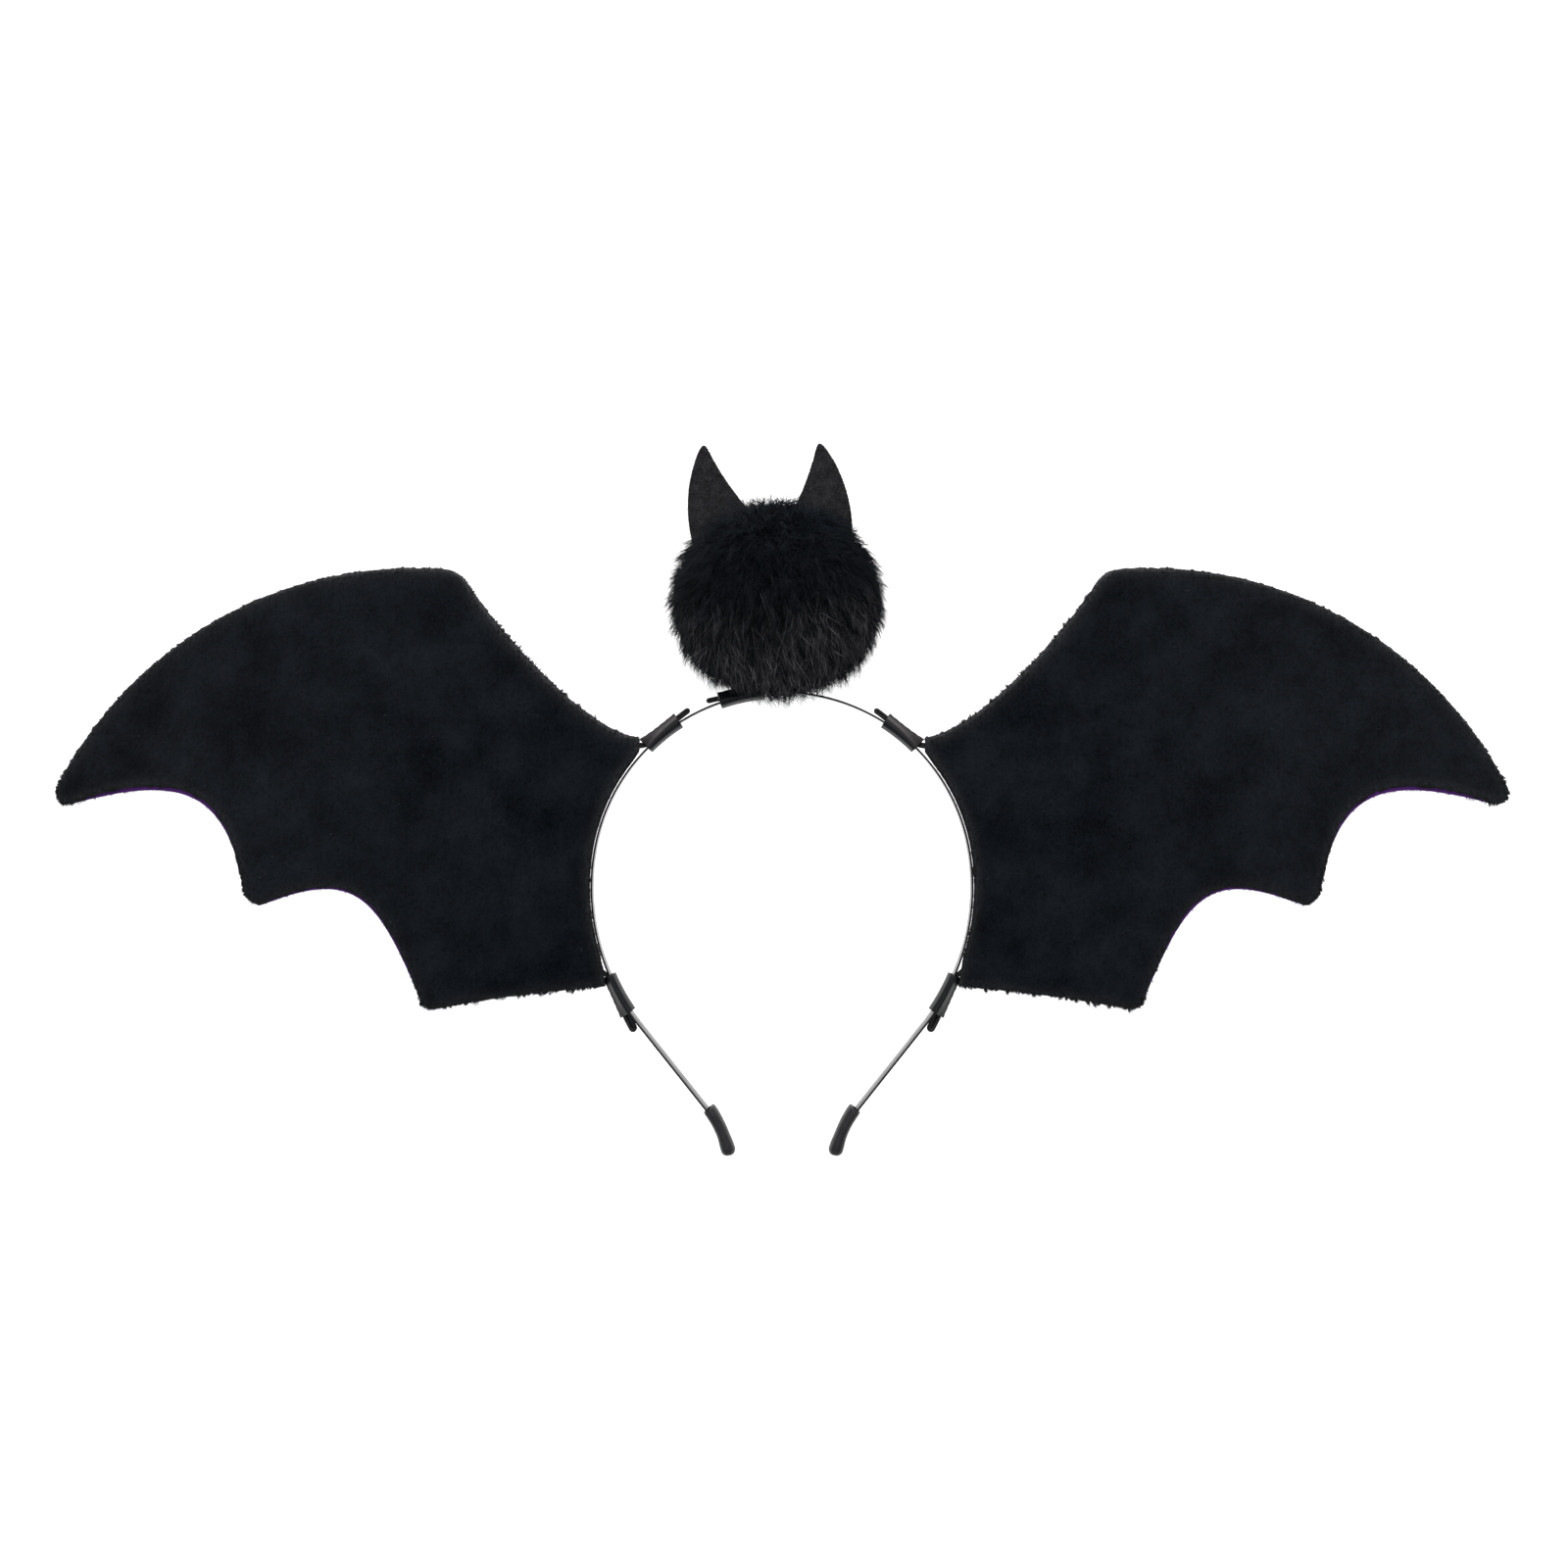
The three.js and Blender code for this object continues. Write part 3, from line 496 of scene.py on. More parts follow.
def makeCap(name, side):
    table = smoothPath(cap["sections"], cap["rings"])
    share, inwards, across, fore = table[::-1].T
    outer = superEllipse(inwards, across, fore, cap["squareness"], cap["sides"])
    socket = cap["socket"]
    depth = np.linspace(0, socket["depth"], socket["rings"])
    sizes = [np.full(len(depth), socket[key]) for key in ("inwards", "across", "fore")]
    hollow = superEllipse(*sizes, socket["squareness"], cap["sides"])
    along = capMouth + np.concatenate([share * strip["capLength"], depth])
    rings = besideBand(along, np.concatenate([outer[0], hollow[0]]), np.concatenate([outer[1], hollow[1]]))
    addPiece(f"cap_{name}", *loft(mirrored(rings, side)), rubber, "rubber", [f"end_cap_{name}"])


# Wires and the sleeves that hold them

wire = {
    "radius": 0.42, "sides": 12, "steps": 140, "pitch": 0.9, "turnSteps": 9, "straightSteps": 8,
    "stemTop": 9.5, "stemBend": 2.5,
}
sleeveForm = {
    "wall": 0.45, "slack": 0.3, "sides": 44, "rings": 32, "wrinkle": 0.05, "wrinkleLength": 2.2,
    # a painted highlight on the skin's lit lobe: its share past the ridge and on it, and how gently it begins
    "tintBeyond": 0.55, "tintRidge": 0.45, "tintEase": 0.5,
    # half of its section, as shares of its reach over the strip's edge and of the wires' lobe
    "faceFore": 0.74, "edgeOut": 0.72, "edgeFore": 0.94, "neckOut": 0.32, "neckFore": 0.88,
    "lobeOut": 0.55, "lobeFore": 1.05, "crownFore": 0.45,
}
# tint: how much painted highlight each sleeve's skin takes
upperTie = {
    "loopEnd": 33.8, "rootEnd": 46.6, "loopReach": 4.7, "loopWidth": 0.92, "room": 0.9, "mainStrand": 1,
    "coat": 0.5, "swell": [0.25, 0.05, -0.08, -0.1, 0, 0.3, 0.75], "ridge": (1.25, 0.1),
    "tint": 0.85, "tilt": 0.12,
}
lowerTie = {
    "loopEnd": 136.3, "rootEnd": 123.2, "loopReach": 5.9, "loopWidth": 1.34, "room": 1.2, "mainStrand": 0,
    "coat": 0.7, "swell": [0.25, 0.05, -0.1, -0.15, -0.1, 0.05, 0.3], "ridge": (0.75, 0.3),
    "tint": 0.12, "tilt": 0.17,
}
pompomTie = {
    "loopEnd": 19.7, "rootEnd": 5.5, "loopReach": 3.9, "loopWidth": 0.84, "room": 0.9, "mainStrand": 1,
    "coat": 0.42, "swell": [0.2, 0.05, 0, 0, 0, 0.05, 0.1], "ridge": (0.9, 0.3),
    "tint": 0.1, "tilt": 0.15,
}
upperRoot = (45.7, 43.2)
upperReturn = (45.6, 42.2)
lowerRoot = (57.1, -27.3)
innerStrand = strip["thickness"] / 2 + clearance + wire["radius"]


# how far out the outer strand lies, from the loop's end of the sleeve to the root's
def outermostStrand(tie, share):
    root = tie["mainStrand"] * wire["pitch"]
    return innerStrand + tie["room"] + (root - tie["room"]) * np.asarray(share, float)


# the section goes over the strip's edge to a ridge and down to the wires' lobe, and its other half mirrors it
def sleeveSection(wall, outermost, ridge):
    form = sleeveForm
    inner = -(strip["thickness"] / 2 + clearance + form["slack"] + wall)
    fore = strip["width"] / 2 + clearance + wall
    lobe = wire["radius"] + clearance + wall
    outer = outermost + lobe
    half = np.array([
        (inner, form["faceFore"] * fore), (form["edgeOut"] * inner, form["edgeFore"] * fore),
        (ridge, fore), (ridge + form["neckOut"], form["neckFore"] * fore),
        (outer - form["lobeOut"] * lobe, form["lobeFore"] * lobe), (outer, form["crownFore"] * lobe),
    ])
    return smoothPath(np.concatenate([half, half[::-1] * [1, -1]]), form["sides"], closed=True)


def makeSleeve(name, tie, side):
    form = sleeveForm
    share = np.linspace(0, 1, form["rings"])
    swell = np.interp(share, np.linspace(0, 1, len(tie["swell"])), tie["swell"])
    outermost = outermostStrand(tie, share) + swell
    ridge = np.interp(share, (0, 1), tie["ridge"])
    length = abs(tie["rootEnd"] - tie["loopEnd"])
    wrinkle = form["wrinkle"] * np.sin(fullTurn * share * length / form["wrinkleLength"])
    skins = [np.stack([sleeveSection(wall, *row) for row in zip(outermost + wrinkle, ridge)])
             for wall in (form["wall"], 0)]
    section = np.concatenate([skins[0], skins[1][::-1]])
    along = tie["loopEnd"] + (tie["rootEnd"] - tie["loopEnd"]) * np.concatenate([share, share[::-1]])
    rings = besideBand(side * along, section[..., 0], section[..., 1])
    faces = quadGrid(len(along), form["sides"], wrapRows=True, wrapColumns=True)
    # painted highlight: a line along the ridge, and a lighter lobe past it where the light falls
    beyond = (section[..., 0] - np.concatenate([ridge, ridge[::-1]])[:, None]) / form["tintEase"]
    paintedLobeLight = form["tintBeyond"] * np.clip(beyond, 0, 1) + form["tintRidge"] * np.exp(-beyond ** 2)
    addPiece(f"{name}_skin", rings.reshape(-1, 3), [faces], sleeveSkin, "sleeve", [name],
             values={"paintedLobeLight": tie["tint"] * paintedLobeLight})


# a wire's hairpin: the main strand from the root, the loop past the sleeve, and the returning strand
def hairpin(tie, side):
    onward = np.sign(tie["loopEnd"] - tie["rootEnd"])
    bow = tie["loopWidth"] / 2
    tip = tie["loopEnd"] + onward * (tie["loopReach"] - bow - tie["coat"])
    middle = (tie["loopEnd"] + tie["rootEnd"]) / 2
    outerStrand = outermostStrand(tie, [1, 0.5, 0])
    strands = [np.full(3, innerStrand), outerStrand]
    main = strands[tie["mainStrand"]]
    back = strands[1 - tie["mainStrand"]]
    towards = 1 if tie["mainStrand"] == 1 else -1
    turn = np.radians(np.linspace(90, -90, wire["turnSteps"]))
    loopMiddle = (innerStrand + outerStrand[2]) / 2
    straight = np.linspace(tie["loopEnd"], tip, wire["straightSteps"])[1:-1]
    level = np.full(len(straight), bow)
    along = np.concatenate([
        [tie["rootEnd"], middle, tie["loopEnd"]], straight, tip + onward * bow * np.cos(turn),
        straight[::-1], [tie["loopEnd"], middle],
    ])
    bend = np.concatenate([level, bow * np.sin(turn), -level])
    out = np.concatenate([main, loopMiddle + towards * bend, [back[2], back[1]]])
    out = out + tie["tilt"] * np.maximum(onward * (along - tie["loopEnd"]), 0)
    return besideBand(side * along, out[:, None], 0)[:, 0]


# a round section carried along a path that lies in the headband's plane
def makeWire(name, path, radius):
    path = smoothPath(path, wire["steps"])
    ahead = unit(np.gradient(path, axis=0))
    across = np.stack([-ahead[:, 1], ahead[:, 0], np.zeros(len(path))], -1)
    rings = path[:, None] + radius * ringOf(evenAngles(wire["sides"]), across, np.array([0, 0, 1]))
    addPiece(f"{name}_coat", *loft(rings), wireCoat, "wire", [name])


def makeTies():
    for name, side in (("left", -1), ("right", 1)):
        makeCap(name, side)
        for label, tie, root in (("upper", upperTie, upperRoot), ("lower", lowerTie, lowerRoot)):
            makeSleeve(f"sleeve_{label}_{name}", tie, side)
            path = np.vstack([[(*root, 0)], hairpin(tie, 1)])
            if label == "upper":
                path = np.vstack([path, besideBand(tie["rootEnd"], innerStrand, 0), [(*upperReturn, 0)]])
            makeWire(f"wing_wire_{label}_{name}", mirrored(path, side), tie["coat"])
    makeSleeve("pompom_sleeve", pompomTie, -1)
    stemAlong = np.full(2, -(pompomTie["rootEnd"] - wire["stemBend"]))
    stemOut = np.array([[wire["stemTop"]], [wire["stemBend"] + innerStrand + wire["pitch"]]])
    stem = besideBand(stemAlong, stemOut, 0)[:, 0]
    makeWire("pompom_wire", np.vstack([stem, hairpin(pompomTie, -1)]), pompomTie["coat"])


makeTies()
print("caps, sleeves and wires made")

# Fibres


# each fibre is a closed three-sided spike: a small triangle round its root, and its tip
def spikes(roots, directions, lengths, width, rng):
    count = len(roots)
    directions = unit(directions)
    across = unit(np.cross(directions, unit(rng.normal(size=(count, 3)))))
    width = np.broadcast_to(width, count)[:, None, None]
    corners = roots[:, None] + width * ringOf(evenAngles(3), across, np.cross(directions, across))
    tips = roots + directions * lengths[:, None]
    points = np.concatenate([corners, tips[:, None]], 1).reshape(-1, 3)
    pattern = np.array([(0, 2, 1), (0, 1, 3), (1, 2, 3), (2, 0, 3)])
    faces = (4 * np.arange(count)[:, None, None] + pattern).reshape(-1, 3)
    return points, faces, np.tile([0.0, 0.0, 0.0, 1.0], count)


slant = np.array([0.31, 0.42, 0.85])   # a direction that few hairs follow, to measure across them from


# each hair is a closed three-sided taper along its own path, with rings that shrink to a tip
def taperedHairs(paths, radii):
    count, steps = paths.shape[:2]
    ahead = unit(np.gradient(paths, axis=1))
    across = unit(np.cross(ahead, slant))
    ring = ringOf(evenAngles(3), across[:, :-1], np.cross(ahead, across)[:, :-1])
    rings = paths[:, :-1, None] + radii[:, :-1, None, None] * ring
    points = np.concatenate([rings.reshape(count, -1, 3), paths[:, -1:]], 1).reshape(-1, 3)
    tip = 3 * (steps - 1)
    a, b, c = range(tip - 3, tip)
    walls = quadGrid(steps - 1, 3, wrapColumns=True)
    ends = np.array([(0, 1, 2), (b, a, tip), (c, b, tip), (a, c, tip)])
    offset = (tip + 1) * np.arange(count)[:, None, None]
    share = np.linspace(0, 1, steps)
    along = np.tile(np.concatenate([np.repeat(share[:-1], 3), share[-1:]]), count)
    return points, [(offset + walls).reshape(-1, 4), (offset + ends).reshape(-1, 3)], along


# places spread over a grid surface by area and weight, with the surface's normals there
def scatter(grid, weight, count, rng):
    a, b, c, d = grid[:-1, :-1], grid[1:, :-1], grid[1:, 1:], grid[:-1, 1:]
    normal = np.cross(c - a, d - b)
    chance = np.linalg.norm(normal, axis=-1) * (weight[:-1, :-1] + weight[1:, 1:])
    cell = rng.choice(chance.size, count, p=(chance / chance.sum()).ravel())
    s, t = rng.random((2, count, 1))
    a, b, c, d = (corner.reshape(-1, 3)[cell] for corner in (a, b, c, d))
    places = (1 - s) * (1 - t) * a + s * (1 - t) * b + s * t * c + (1 - s) * t * d
    return places, unit(normal.reshape(-1, 3)[cell]), np.unravel_index(cell, chance.shape)


# Wings

wing = {
    "standoff": 0.75, "neck": (44.8, 40.8), "neckAlong": 54, "upper": (44.9, 45.4),
    "lower": (55.3, -32.6), "lowerAlong": 116,
    "shoulder": [(58.9, 46.3), (84.9, 73.2), (98.6, 93.1)],
    "topCorner": (101.6, 99.5),
    # the degrees at which the top arc starts, passes the inner bay and the middle point, and ends
    "arc": {"middle": (117.9, -30.3), "radius": 129.3, "degrees": (93, 67, 64, 29)},
    "tip": [(231.1, 24.8), (232.6, 28.6)],
    "bottom": [(84.7, -35), (109.8, -40.2)],
    "lowerPoint": (113.1, -40.3), "middlePoint": (169.1, -7.5),
    "lowerScallop": {"start": (114.1, -37.6), "startDeg": 66.7, "startPull": 36.1,
                     "end": (165.7, -7.9), "endDeg": 158.2, "endPull": 33.2},
    "outerScallop": {"start": (171, -4.3), "startDeg": 79.6, "startPull": 33.5,
                     "end": (228, 24.3), "endDeg": 165.1, "endPull": 38.7},
    "columns": 124, "rows": 50, "tipSteps": 200,
    "front": 2.3, "back": 1.6, "roll": 0.9,
    # share along the lower side, and how much of the backing shows there
    "backingShows": [
        (0.346, 0.2), (0.37, 0.8), (0.42, 1.0), (0.5, 1.1), (0.58, 0.8), (0.615, 0.3), (0.7, 0.2),
        (0.74, 0.7), (0.8, 1.2), (0.88, 1.5), (0.95, 1.3), (0.985, 0.7), (1, 0),
    ],
    "wave": 0.3, "waveLength": 34, "waveEase": 4, "pucker": 0.14, "puckerLength": 7, "puckerReach": 7,
    "sagSlope": 0.089, "sagEase": 15, "sagRoot": (45, 43), "sagDeg": 9.1,
}
wingSteps = {"neck": 1, "shoulder": 6, "corner": 2, "innerBay": 7, "point": 2, "outerBay": 8, "rise": 7}


# points on a curve with pulls, by repeated mixing of neighbouring controls
def bezier(*controls):
    def at(t):
        level = np.repeat(np.array(controls, float)[None], len(t), 0)
        while level.shape[1] > 1:
            level = level[:, :-1] + (level[:, 1:] - level[:, :-1]) * t[:, None, None]
        return level[:, 0]
    return at


# a curve between two ends, each pulled along its own heading
def scallop(row):
    def pulled(end):
        x, y = row[end]
        angle = radians(row[end + "Deg"])
        pull = row[end + "Pull"]
        return (x + pull * cos(angle), y + pull * sin(angle))
    return bezier(row["start"], pulled("start"), pulled("end"), row["end"])


def topArc(fromDeg, toDeg):
    def at(t):
        angle = np.radians(fromDeg + (toDeg - fromDeg) * t)
        return wing["arc"]["middle"] + wing["arc"]["radius"] * np.stack([np.cos(angle), np.sin(angle)], -1)
    return at


# points at shares of a chain of curves, each of which takes its own number of steps
def chain(parts, share):
    place = share * sum(steps for steps, _ in parts)
    points = np.zeros((len(share), 2))
    start = 0
    for steps, curve in parts:
        inside = (place >= start - 1e-9) & (place <= start + steps + 1e-9)
        points[inside] = curve(np.clip((place[inside] - start) / steps, 0, 1))
        start += steps
    return points


def edgeOfStrip(along):
    return besideBand(along, np.array([wing["standoff"]]), 0)[..., 0, :2]


# the wing's four sides
def wingSides():
    steps, turns = wingSteps, wing["arc"]["degrees"]
    u, v = eased(wing["columns"]), eased(wing["rows"])
    arcs = [topArc(*ends) for ends in zip(turns, turns[1:])]
    arcStart, arcEnd = arcs[0](np.zeros(1))[0], arcs[2](np.ones(1))[0]
    shoulder = [wing["upper"], *wing["shoulder"]]
    upper = chain([
        (steps["neck"], bezier(wing["neck"], wing["upper"])), (steps["shoulder"], bezier(*shoulder)),
        (steps["corner"], bezier(shoulder[-1], wing["topCorner"], arcStart)),
        (steps["innerBay"], arcs[0]), (steps["point"], arcs[1]), (steps["outerBay"], arcs[2]),
    ], u)
    inner, outer = wing["lowerScallop"], wing["outerScallop"]
    lower = chain([
        (steps["neck"] + steps["shoulder"], bezier(wing["lower"], *wing["bottom"])),
        (steps["corner"], bezier(wing["bottom"][-1], wing["lowerPoint"], inner["start"])),
        (steps["innerBay"], scallop(inner)),
        (steps["point"], bezier(inner["end"], wing["middlePoint"], outer["start"])),
        (steps["outerBay"], scallop(outer)),
    ], u)
    low, high = wing["lowerAlong"], wing["neckAlong"]
    innerEdge = chain([
        (1, bezier(wing["lower"], edgeOfStrip(low))),
        (steps["rise"] - 2, lambda t: edgeOfStrip(low + (high - low) * t)),
        (1, bezier(edgeOfStrip(high), wing["neck"])),
    ], v)
    tipCurve = smoothPath([outer["end"], *wing["tip"], arcEnd], wing["tipSteps"])
    tip = np.stack([np.interp(v, np.linspace(0, 1, len(tipCurve)), line) for line in tipCurve.T], -1)
    return {"upper": upper, "lower": lower, "innerEdge": innerEdge, "tip": tip, "u": u, "v": v}


# the front cloth stops a little short along the scallops, where the backing shows
def shortened(sides):
    ahead = unit(np.gradient(sides["lower"], axis=0))
    shows = np.interp(sides["u"], *np.array(wing["backingShows"]).T)
    inwards = np.stack([-ahead[:, 1], ahead[:, 0]], -1)
    return {**sides, "lower": sides["lower"] + inwards * shows[:, None]}


# a patch between four sides: the two ruled surfaces added, less the one through the corners
def patch(sides):
    u, v = sides["u"][:, None, None], sides["v"][None, :, None]
    upper, lower = sides["upper"][:, None], sides["lower"][:, None]
    inner, tip = sides["innerEdge"][None], sides["tip"][None]
    ruled = lower * (1 - v) + upper * v + inner * (1 - u) + tip * u
    corners = (lower[0] * (1 - u) + lower[-1] * u) * (1 - v) + (upper[0] * (1 - u) + upper[-1] * u) * v
    return ruled - corners


def outline(grid):
    return np.concatenate([grid[:-1, 0], grid[-1, :-1], grid[:0:-1, -1], grid[0, :0:-1]])


# the shortest way from each point to a closed line of short straight pieces
def distanceTo(points, loop):
    start, step = loop, np.roll(loop, -1, 0) - loop
    length = np.maximum((step ** 2).sum(-1), 1e-9)
    best = np.full(len(points), np.inf)
    for a, d, size in zip(start, step, length):
        t = np.clip(((points - a) @ d) / size, 0, 1)
        best = np.minimum(best, ((points - a - t[:, None] * d) ** 2).sum(-1))
    return np.sqrt(best)


# how far the cloth lies behind the strip's plane: a slope that begins gently at the root
def sag(x, y):
    angle = radians(wing["sagDeg"])
    reach = (x - wing["sagRoot"][0]) * cos(angle) + (y - wing["sagRoot"][1]) * sin(angle)
    reach = np.maximum(reach, 0)
    return wing["sagSlope"] * reach ** 2 / (reach + wing["sagEase"])


# one layer: flat towards the other, and rolled over at its edge like a quarter circle
def wingLayer(sides, facing, thickness, seed):
    grid = patch(sides)
    x, y = grid[..., 0], grid[..., 1]
    edge = distanceTo(grid.reshape(-1, 2), outline(grid)).reshape(x.shape)
    edge[[0, -1]] = 0
    edge[:, [0, -1]] = 0
    roll = np.sqrt(1 - (1 - np.minimum(edge / wing["roll"], 1)) ** 2)
    wave = wing["wave"] * ripples(x, y, wing["waveLength"], seed)
    near = np.exp(-edge / wing["puckerReach"])
    pucker = wing["pucker"] * ripples(x, y, wing["puckerLength"], seed + 1) * near
    base = facing * clearance / 2
    rise = np.maximum(thickness * roll + (wave + pucker) * np.minimum(edge / wing["waveEase"], 1), 0)
    top = np.stack([x, y, base + facing * rise - sag(x, y)], -1)
    under = np.stack([x, y, np.full_like(x, base) - sag(x, y)], -1)
    return top, under, edge


# the two faces of a layer share the points of its rim
def closedLayer(top, under):
    columns, rows = top.shape[:2]
    number = np.arange(columns * rows).reshape(columns, rows)
    below = number.copy()
    below[1:-1, 1:-1] = number.size + np.arange((columns - 2) * (rows - 2)).reshape(columns - 2, -1)
    points = np.concatenate([top.reshape(-1, 3), under[1:-1, 1:-1].reshape(-1, 3)])
    faces = quadGrid(columns, rows)
    return points, [faces, below.ravel()[faces][:, ::-1]]


pile = {
    "frontCount": 33000, "backCount": 7000, "width": 0.075, "length": 0.95, "rimLength": 0.45,
    "varies": (0.7, 1.2), "ragged": 0.6, "leastTuft": 0.3, "tuftLength": 5,
    # share along the lower and upper sides, and the pile's length at the rim there
    "lowerRim": [(0, 1.9), (0.26, 1.9), (0.3, 1.6), (0.34, 1.2), (0.37, 1.0), (0.59, 1.0), (0.62, 1.2),
                 (0.655, 1.5), (0.69, 1.2), (0.76, 1.0), (0.95, 1.0), (1, 1.6)],
    "upperRim": [(0, 0.5), (0.06, 1.2), (0.15, 2.0), (0.24, 1.5), (0.29, 1.0), (0.36, 0.9), (0.94, 0.9),
                 (1, 1.6)],
    "neckStart": 0.3, "neckReach": 0.01,   # it is shorter beside the strip
    "rim": 1.6, "rimWeight": 9, "rimWidth": 1.7,
    "lump": 1.7, "lumpPull": 1.1, "lumpJitter": 0.3, "lumpFuller": (0.25, 1.8), "lumpGrid": 64,
    "lean": (0.18, -0.3, 0), "leanPatch": 22, "sway": 0.4, "stray": 0.22,
    # a few fibres are paler, and a few are lint
    "fleck": 0.03, "fleckPower": 6, "lint": 0.0005, "lintPale": 0.5,
    # a painted highlight along the rim: how much, and how far in, at the lower and the upper side
    "rimLight": (0.32, 0.52), "rimFade": (0.8, 1.1), "rimPale": 0.5,
    # painted light: the rest is painted a little lighter outwards and upwards: a share, and what each
    # millimetre adds to it
    "glow": 0.021, "glowStart": -0.354, "glowOut": 0.00625, "glowUp": 0.0029,
}


# the way to the middle of the lump that each place belongs to, in a jittered grid, and that lump's length
def lumps(places, rng):
    across = pile["lumpGrid"]
    shift = rng.uniform(-pile["lumpJitter"], pile["lumpJitter"], (across, across, 2))
    fuller = rng.uniform(*pile["lumpFuller"], (across, across))
    cell = np.floor(places / pile["lump"]).astype(int)
    column, row = (cell % across).T
    middle = (cell + 0.5 + shift[column, row]) * pile["lump"]
    return (middle - places) / pile["lump"], fuller[column, row]


# painted light on the cloth: a painted highlight most at its upper rim, fading inwards, and painted lighter
# outwards and upwards
def rimLight(top, edge):
    upper = np.linspace(0, 1, edge.shape[1])[None]
    most = np.interp(upper, (0, 1), pile["rimLight"])
    fade = np.interp(upper, (0, 1), pile["rimFade"])
    outwards = pile["glowStart"] + pile["glowOut"] * top[..., 0] + pile["glowUp"] * top[..., 1]
    return most * np.exp(-edge / fade) + pile["glow"] * np.clip(outwards, 0, 1)


# short fibres on a surface, each with its own paleness
def addFibres(name, fibres, shade, material, slotName, side=1):
    points, faces, along = fibres
    values = {"alongFibre": along, "fibreShade": np.repeat(shade, 4)}
    return addPiece(name, mirrored(points, side), [faces], material, slotName, values=values)


# short pile: denser along the rim, leaning this way and that in patches, drawn together in lumps, and longer
# in tufts at the edges
def makePile(name, top, edge, facing, side, count, material, slotName, seed):
    rng = np.random.default_rng(seed)
    weight = 1 + (pile["rimWeight"] - 1) * (edge < pile["rim"])
    roots, normal, (column, row) = scatter(top, weight, count, rng)
    x, y = roots[:, 0], roots[:, 1]
    normal = normal * np.sign((normal[:, 2] * facing).sum())
    sway = np.zeros((count, 3))
    for axis in range(2):
        sway[:, axis] = ripples(x, y, pile["leanPatch"], seed + 2 + axis)
    direction = normal + np.array(pile["lean"]) + pile["sway"] * sway
    direction = direction + rng.normal(0, pile["stray"], (count, 3))
    tufts = 1 + pile["ragged"] * ripples(x, y, pile["tuftLength"], seed + 4)
    towards, fuller = lumps(roots[:, :2], rng)
    direction[:, :2] += pile["lumpPull"] * towards
    tufts = np.maximum(tufts, pile["leastTuft"]) * fuller
    u = eased(wing["columns"])[column]
    lower = np.interp(u, *np.array(pile["lowerRim"]).T)
    upper = np.interp(u, *np.array(pile["upperRim"]).T)
    rim = np.where(row < wing["rows"] / 2, lower, upper)
    rim = rim * np.minimum(pile["neckStart"] + u / pile["neckReach"], 1)
    atRim = np.sqrt(np.clip(1 - np.abs(normal[:, 2]), 0, 1))
    length = pile["length"] * (1 - atRim) + pile["rimLength"] * atRim * rim * tufts
    width = pile["width"] * (1 + (pile["rimWidth"] - 1) * atRim)
    fibres = spikes(roots, direction, length * rng.uniform(*pile["varies"], count), width, rng)
    shade = pile["fleck"] * rng.random(count) ** pile["fleckPower"]
    shade = shade + pile["lintPale"] * (rng.random(count) < pile["lint"])
    # the fibres take the same painted highlight and painted brightening as the cloth under them
    shade = shade + pile["rimPale"] * rimLight(top, edge)[column, row]
    return addFibres(name, fibres, shade, material, slotName, side)


def makeWings():
    sides = wingSides()
    for name, side, seed in (("left", -1, 11), ("right", 1, 41)):
        layers = [
            ("front", shortened(sides), 1, plush, plushPile, "plush", pile["frontCount"]),
            ("back", sides, -1, backing, backingPile, "backing", pile["backCount"]),
        ]
        for label, edges, facing, cloth, fibre, slotName, count in layers:
            top, under, edge = wingLayer(edges, facing, wing[label], seed + facing)
            points, faces = closedLayer(top, under)
            # painted light of the cloth, as an attribute for its second colour
            light = np.zeros(len(points))
            light[:edge.size] = rimLight(top, edge).ravel()
            piece = addPiece(f"wing_cloth_{label}_{name}", mirrored(points, side), faces, cloth, slotName,
                             [f"wing_{label}_{name}"], values={"rimLight": light})
            hairs = makePile(f"wing_pile_{label}_{name}", top, edge, facing, side, count, fibre, slotName,
                             seed + 7 * facing)


makeWings()
print("wings made")

# Ears

ear = {
    "thickness": 1.8, "leanDeg": 6.5, "cup": 1.6, "rows": 44, "rowsPower": 1.4, "across": 22, "rim": 0.4,
    "blunt": 0.003, "tipRadius": 0.6, "tipEase": 4.5,
    "inner": [(0, 0), (-5.6, -13.3), (-14, -25)], "outer": [(0, 0), (6, -7.5), (9.2, -20), (6.5, -33)],
    "tips": {"left": (-1, -24.5, 136.9), "right": (1, 11.7, 137.5)},
    "wave": 0.22, "waveLength": 9,
    "fuzz": 5200, "fuzzLength": 0.75, "fuzzVaries": (0.4, 1.2), "fuzzWidth": 0.045, "fuzzStray": 0.9,
    "fuzzPale": 0.5, "fuzzPalePower": 4,
}


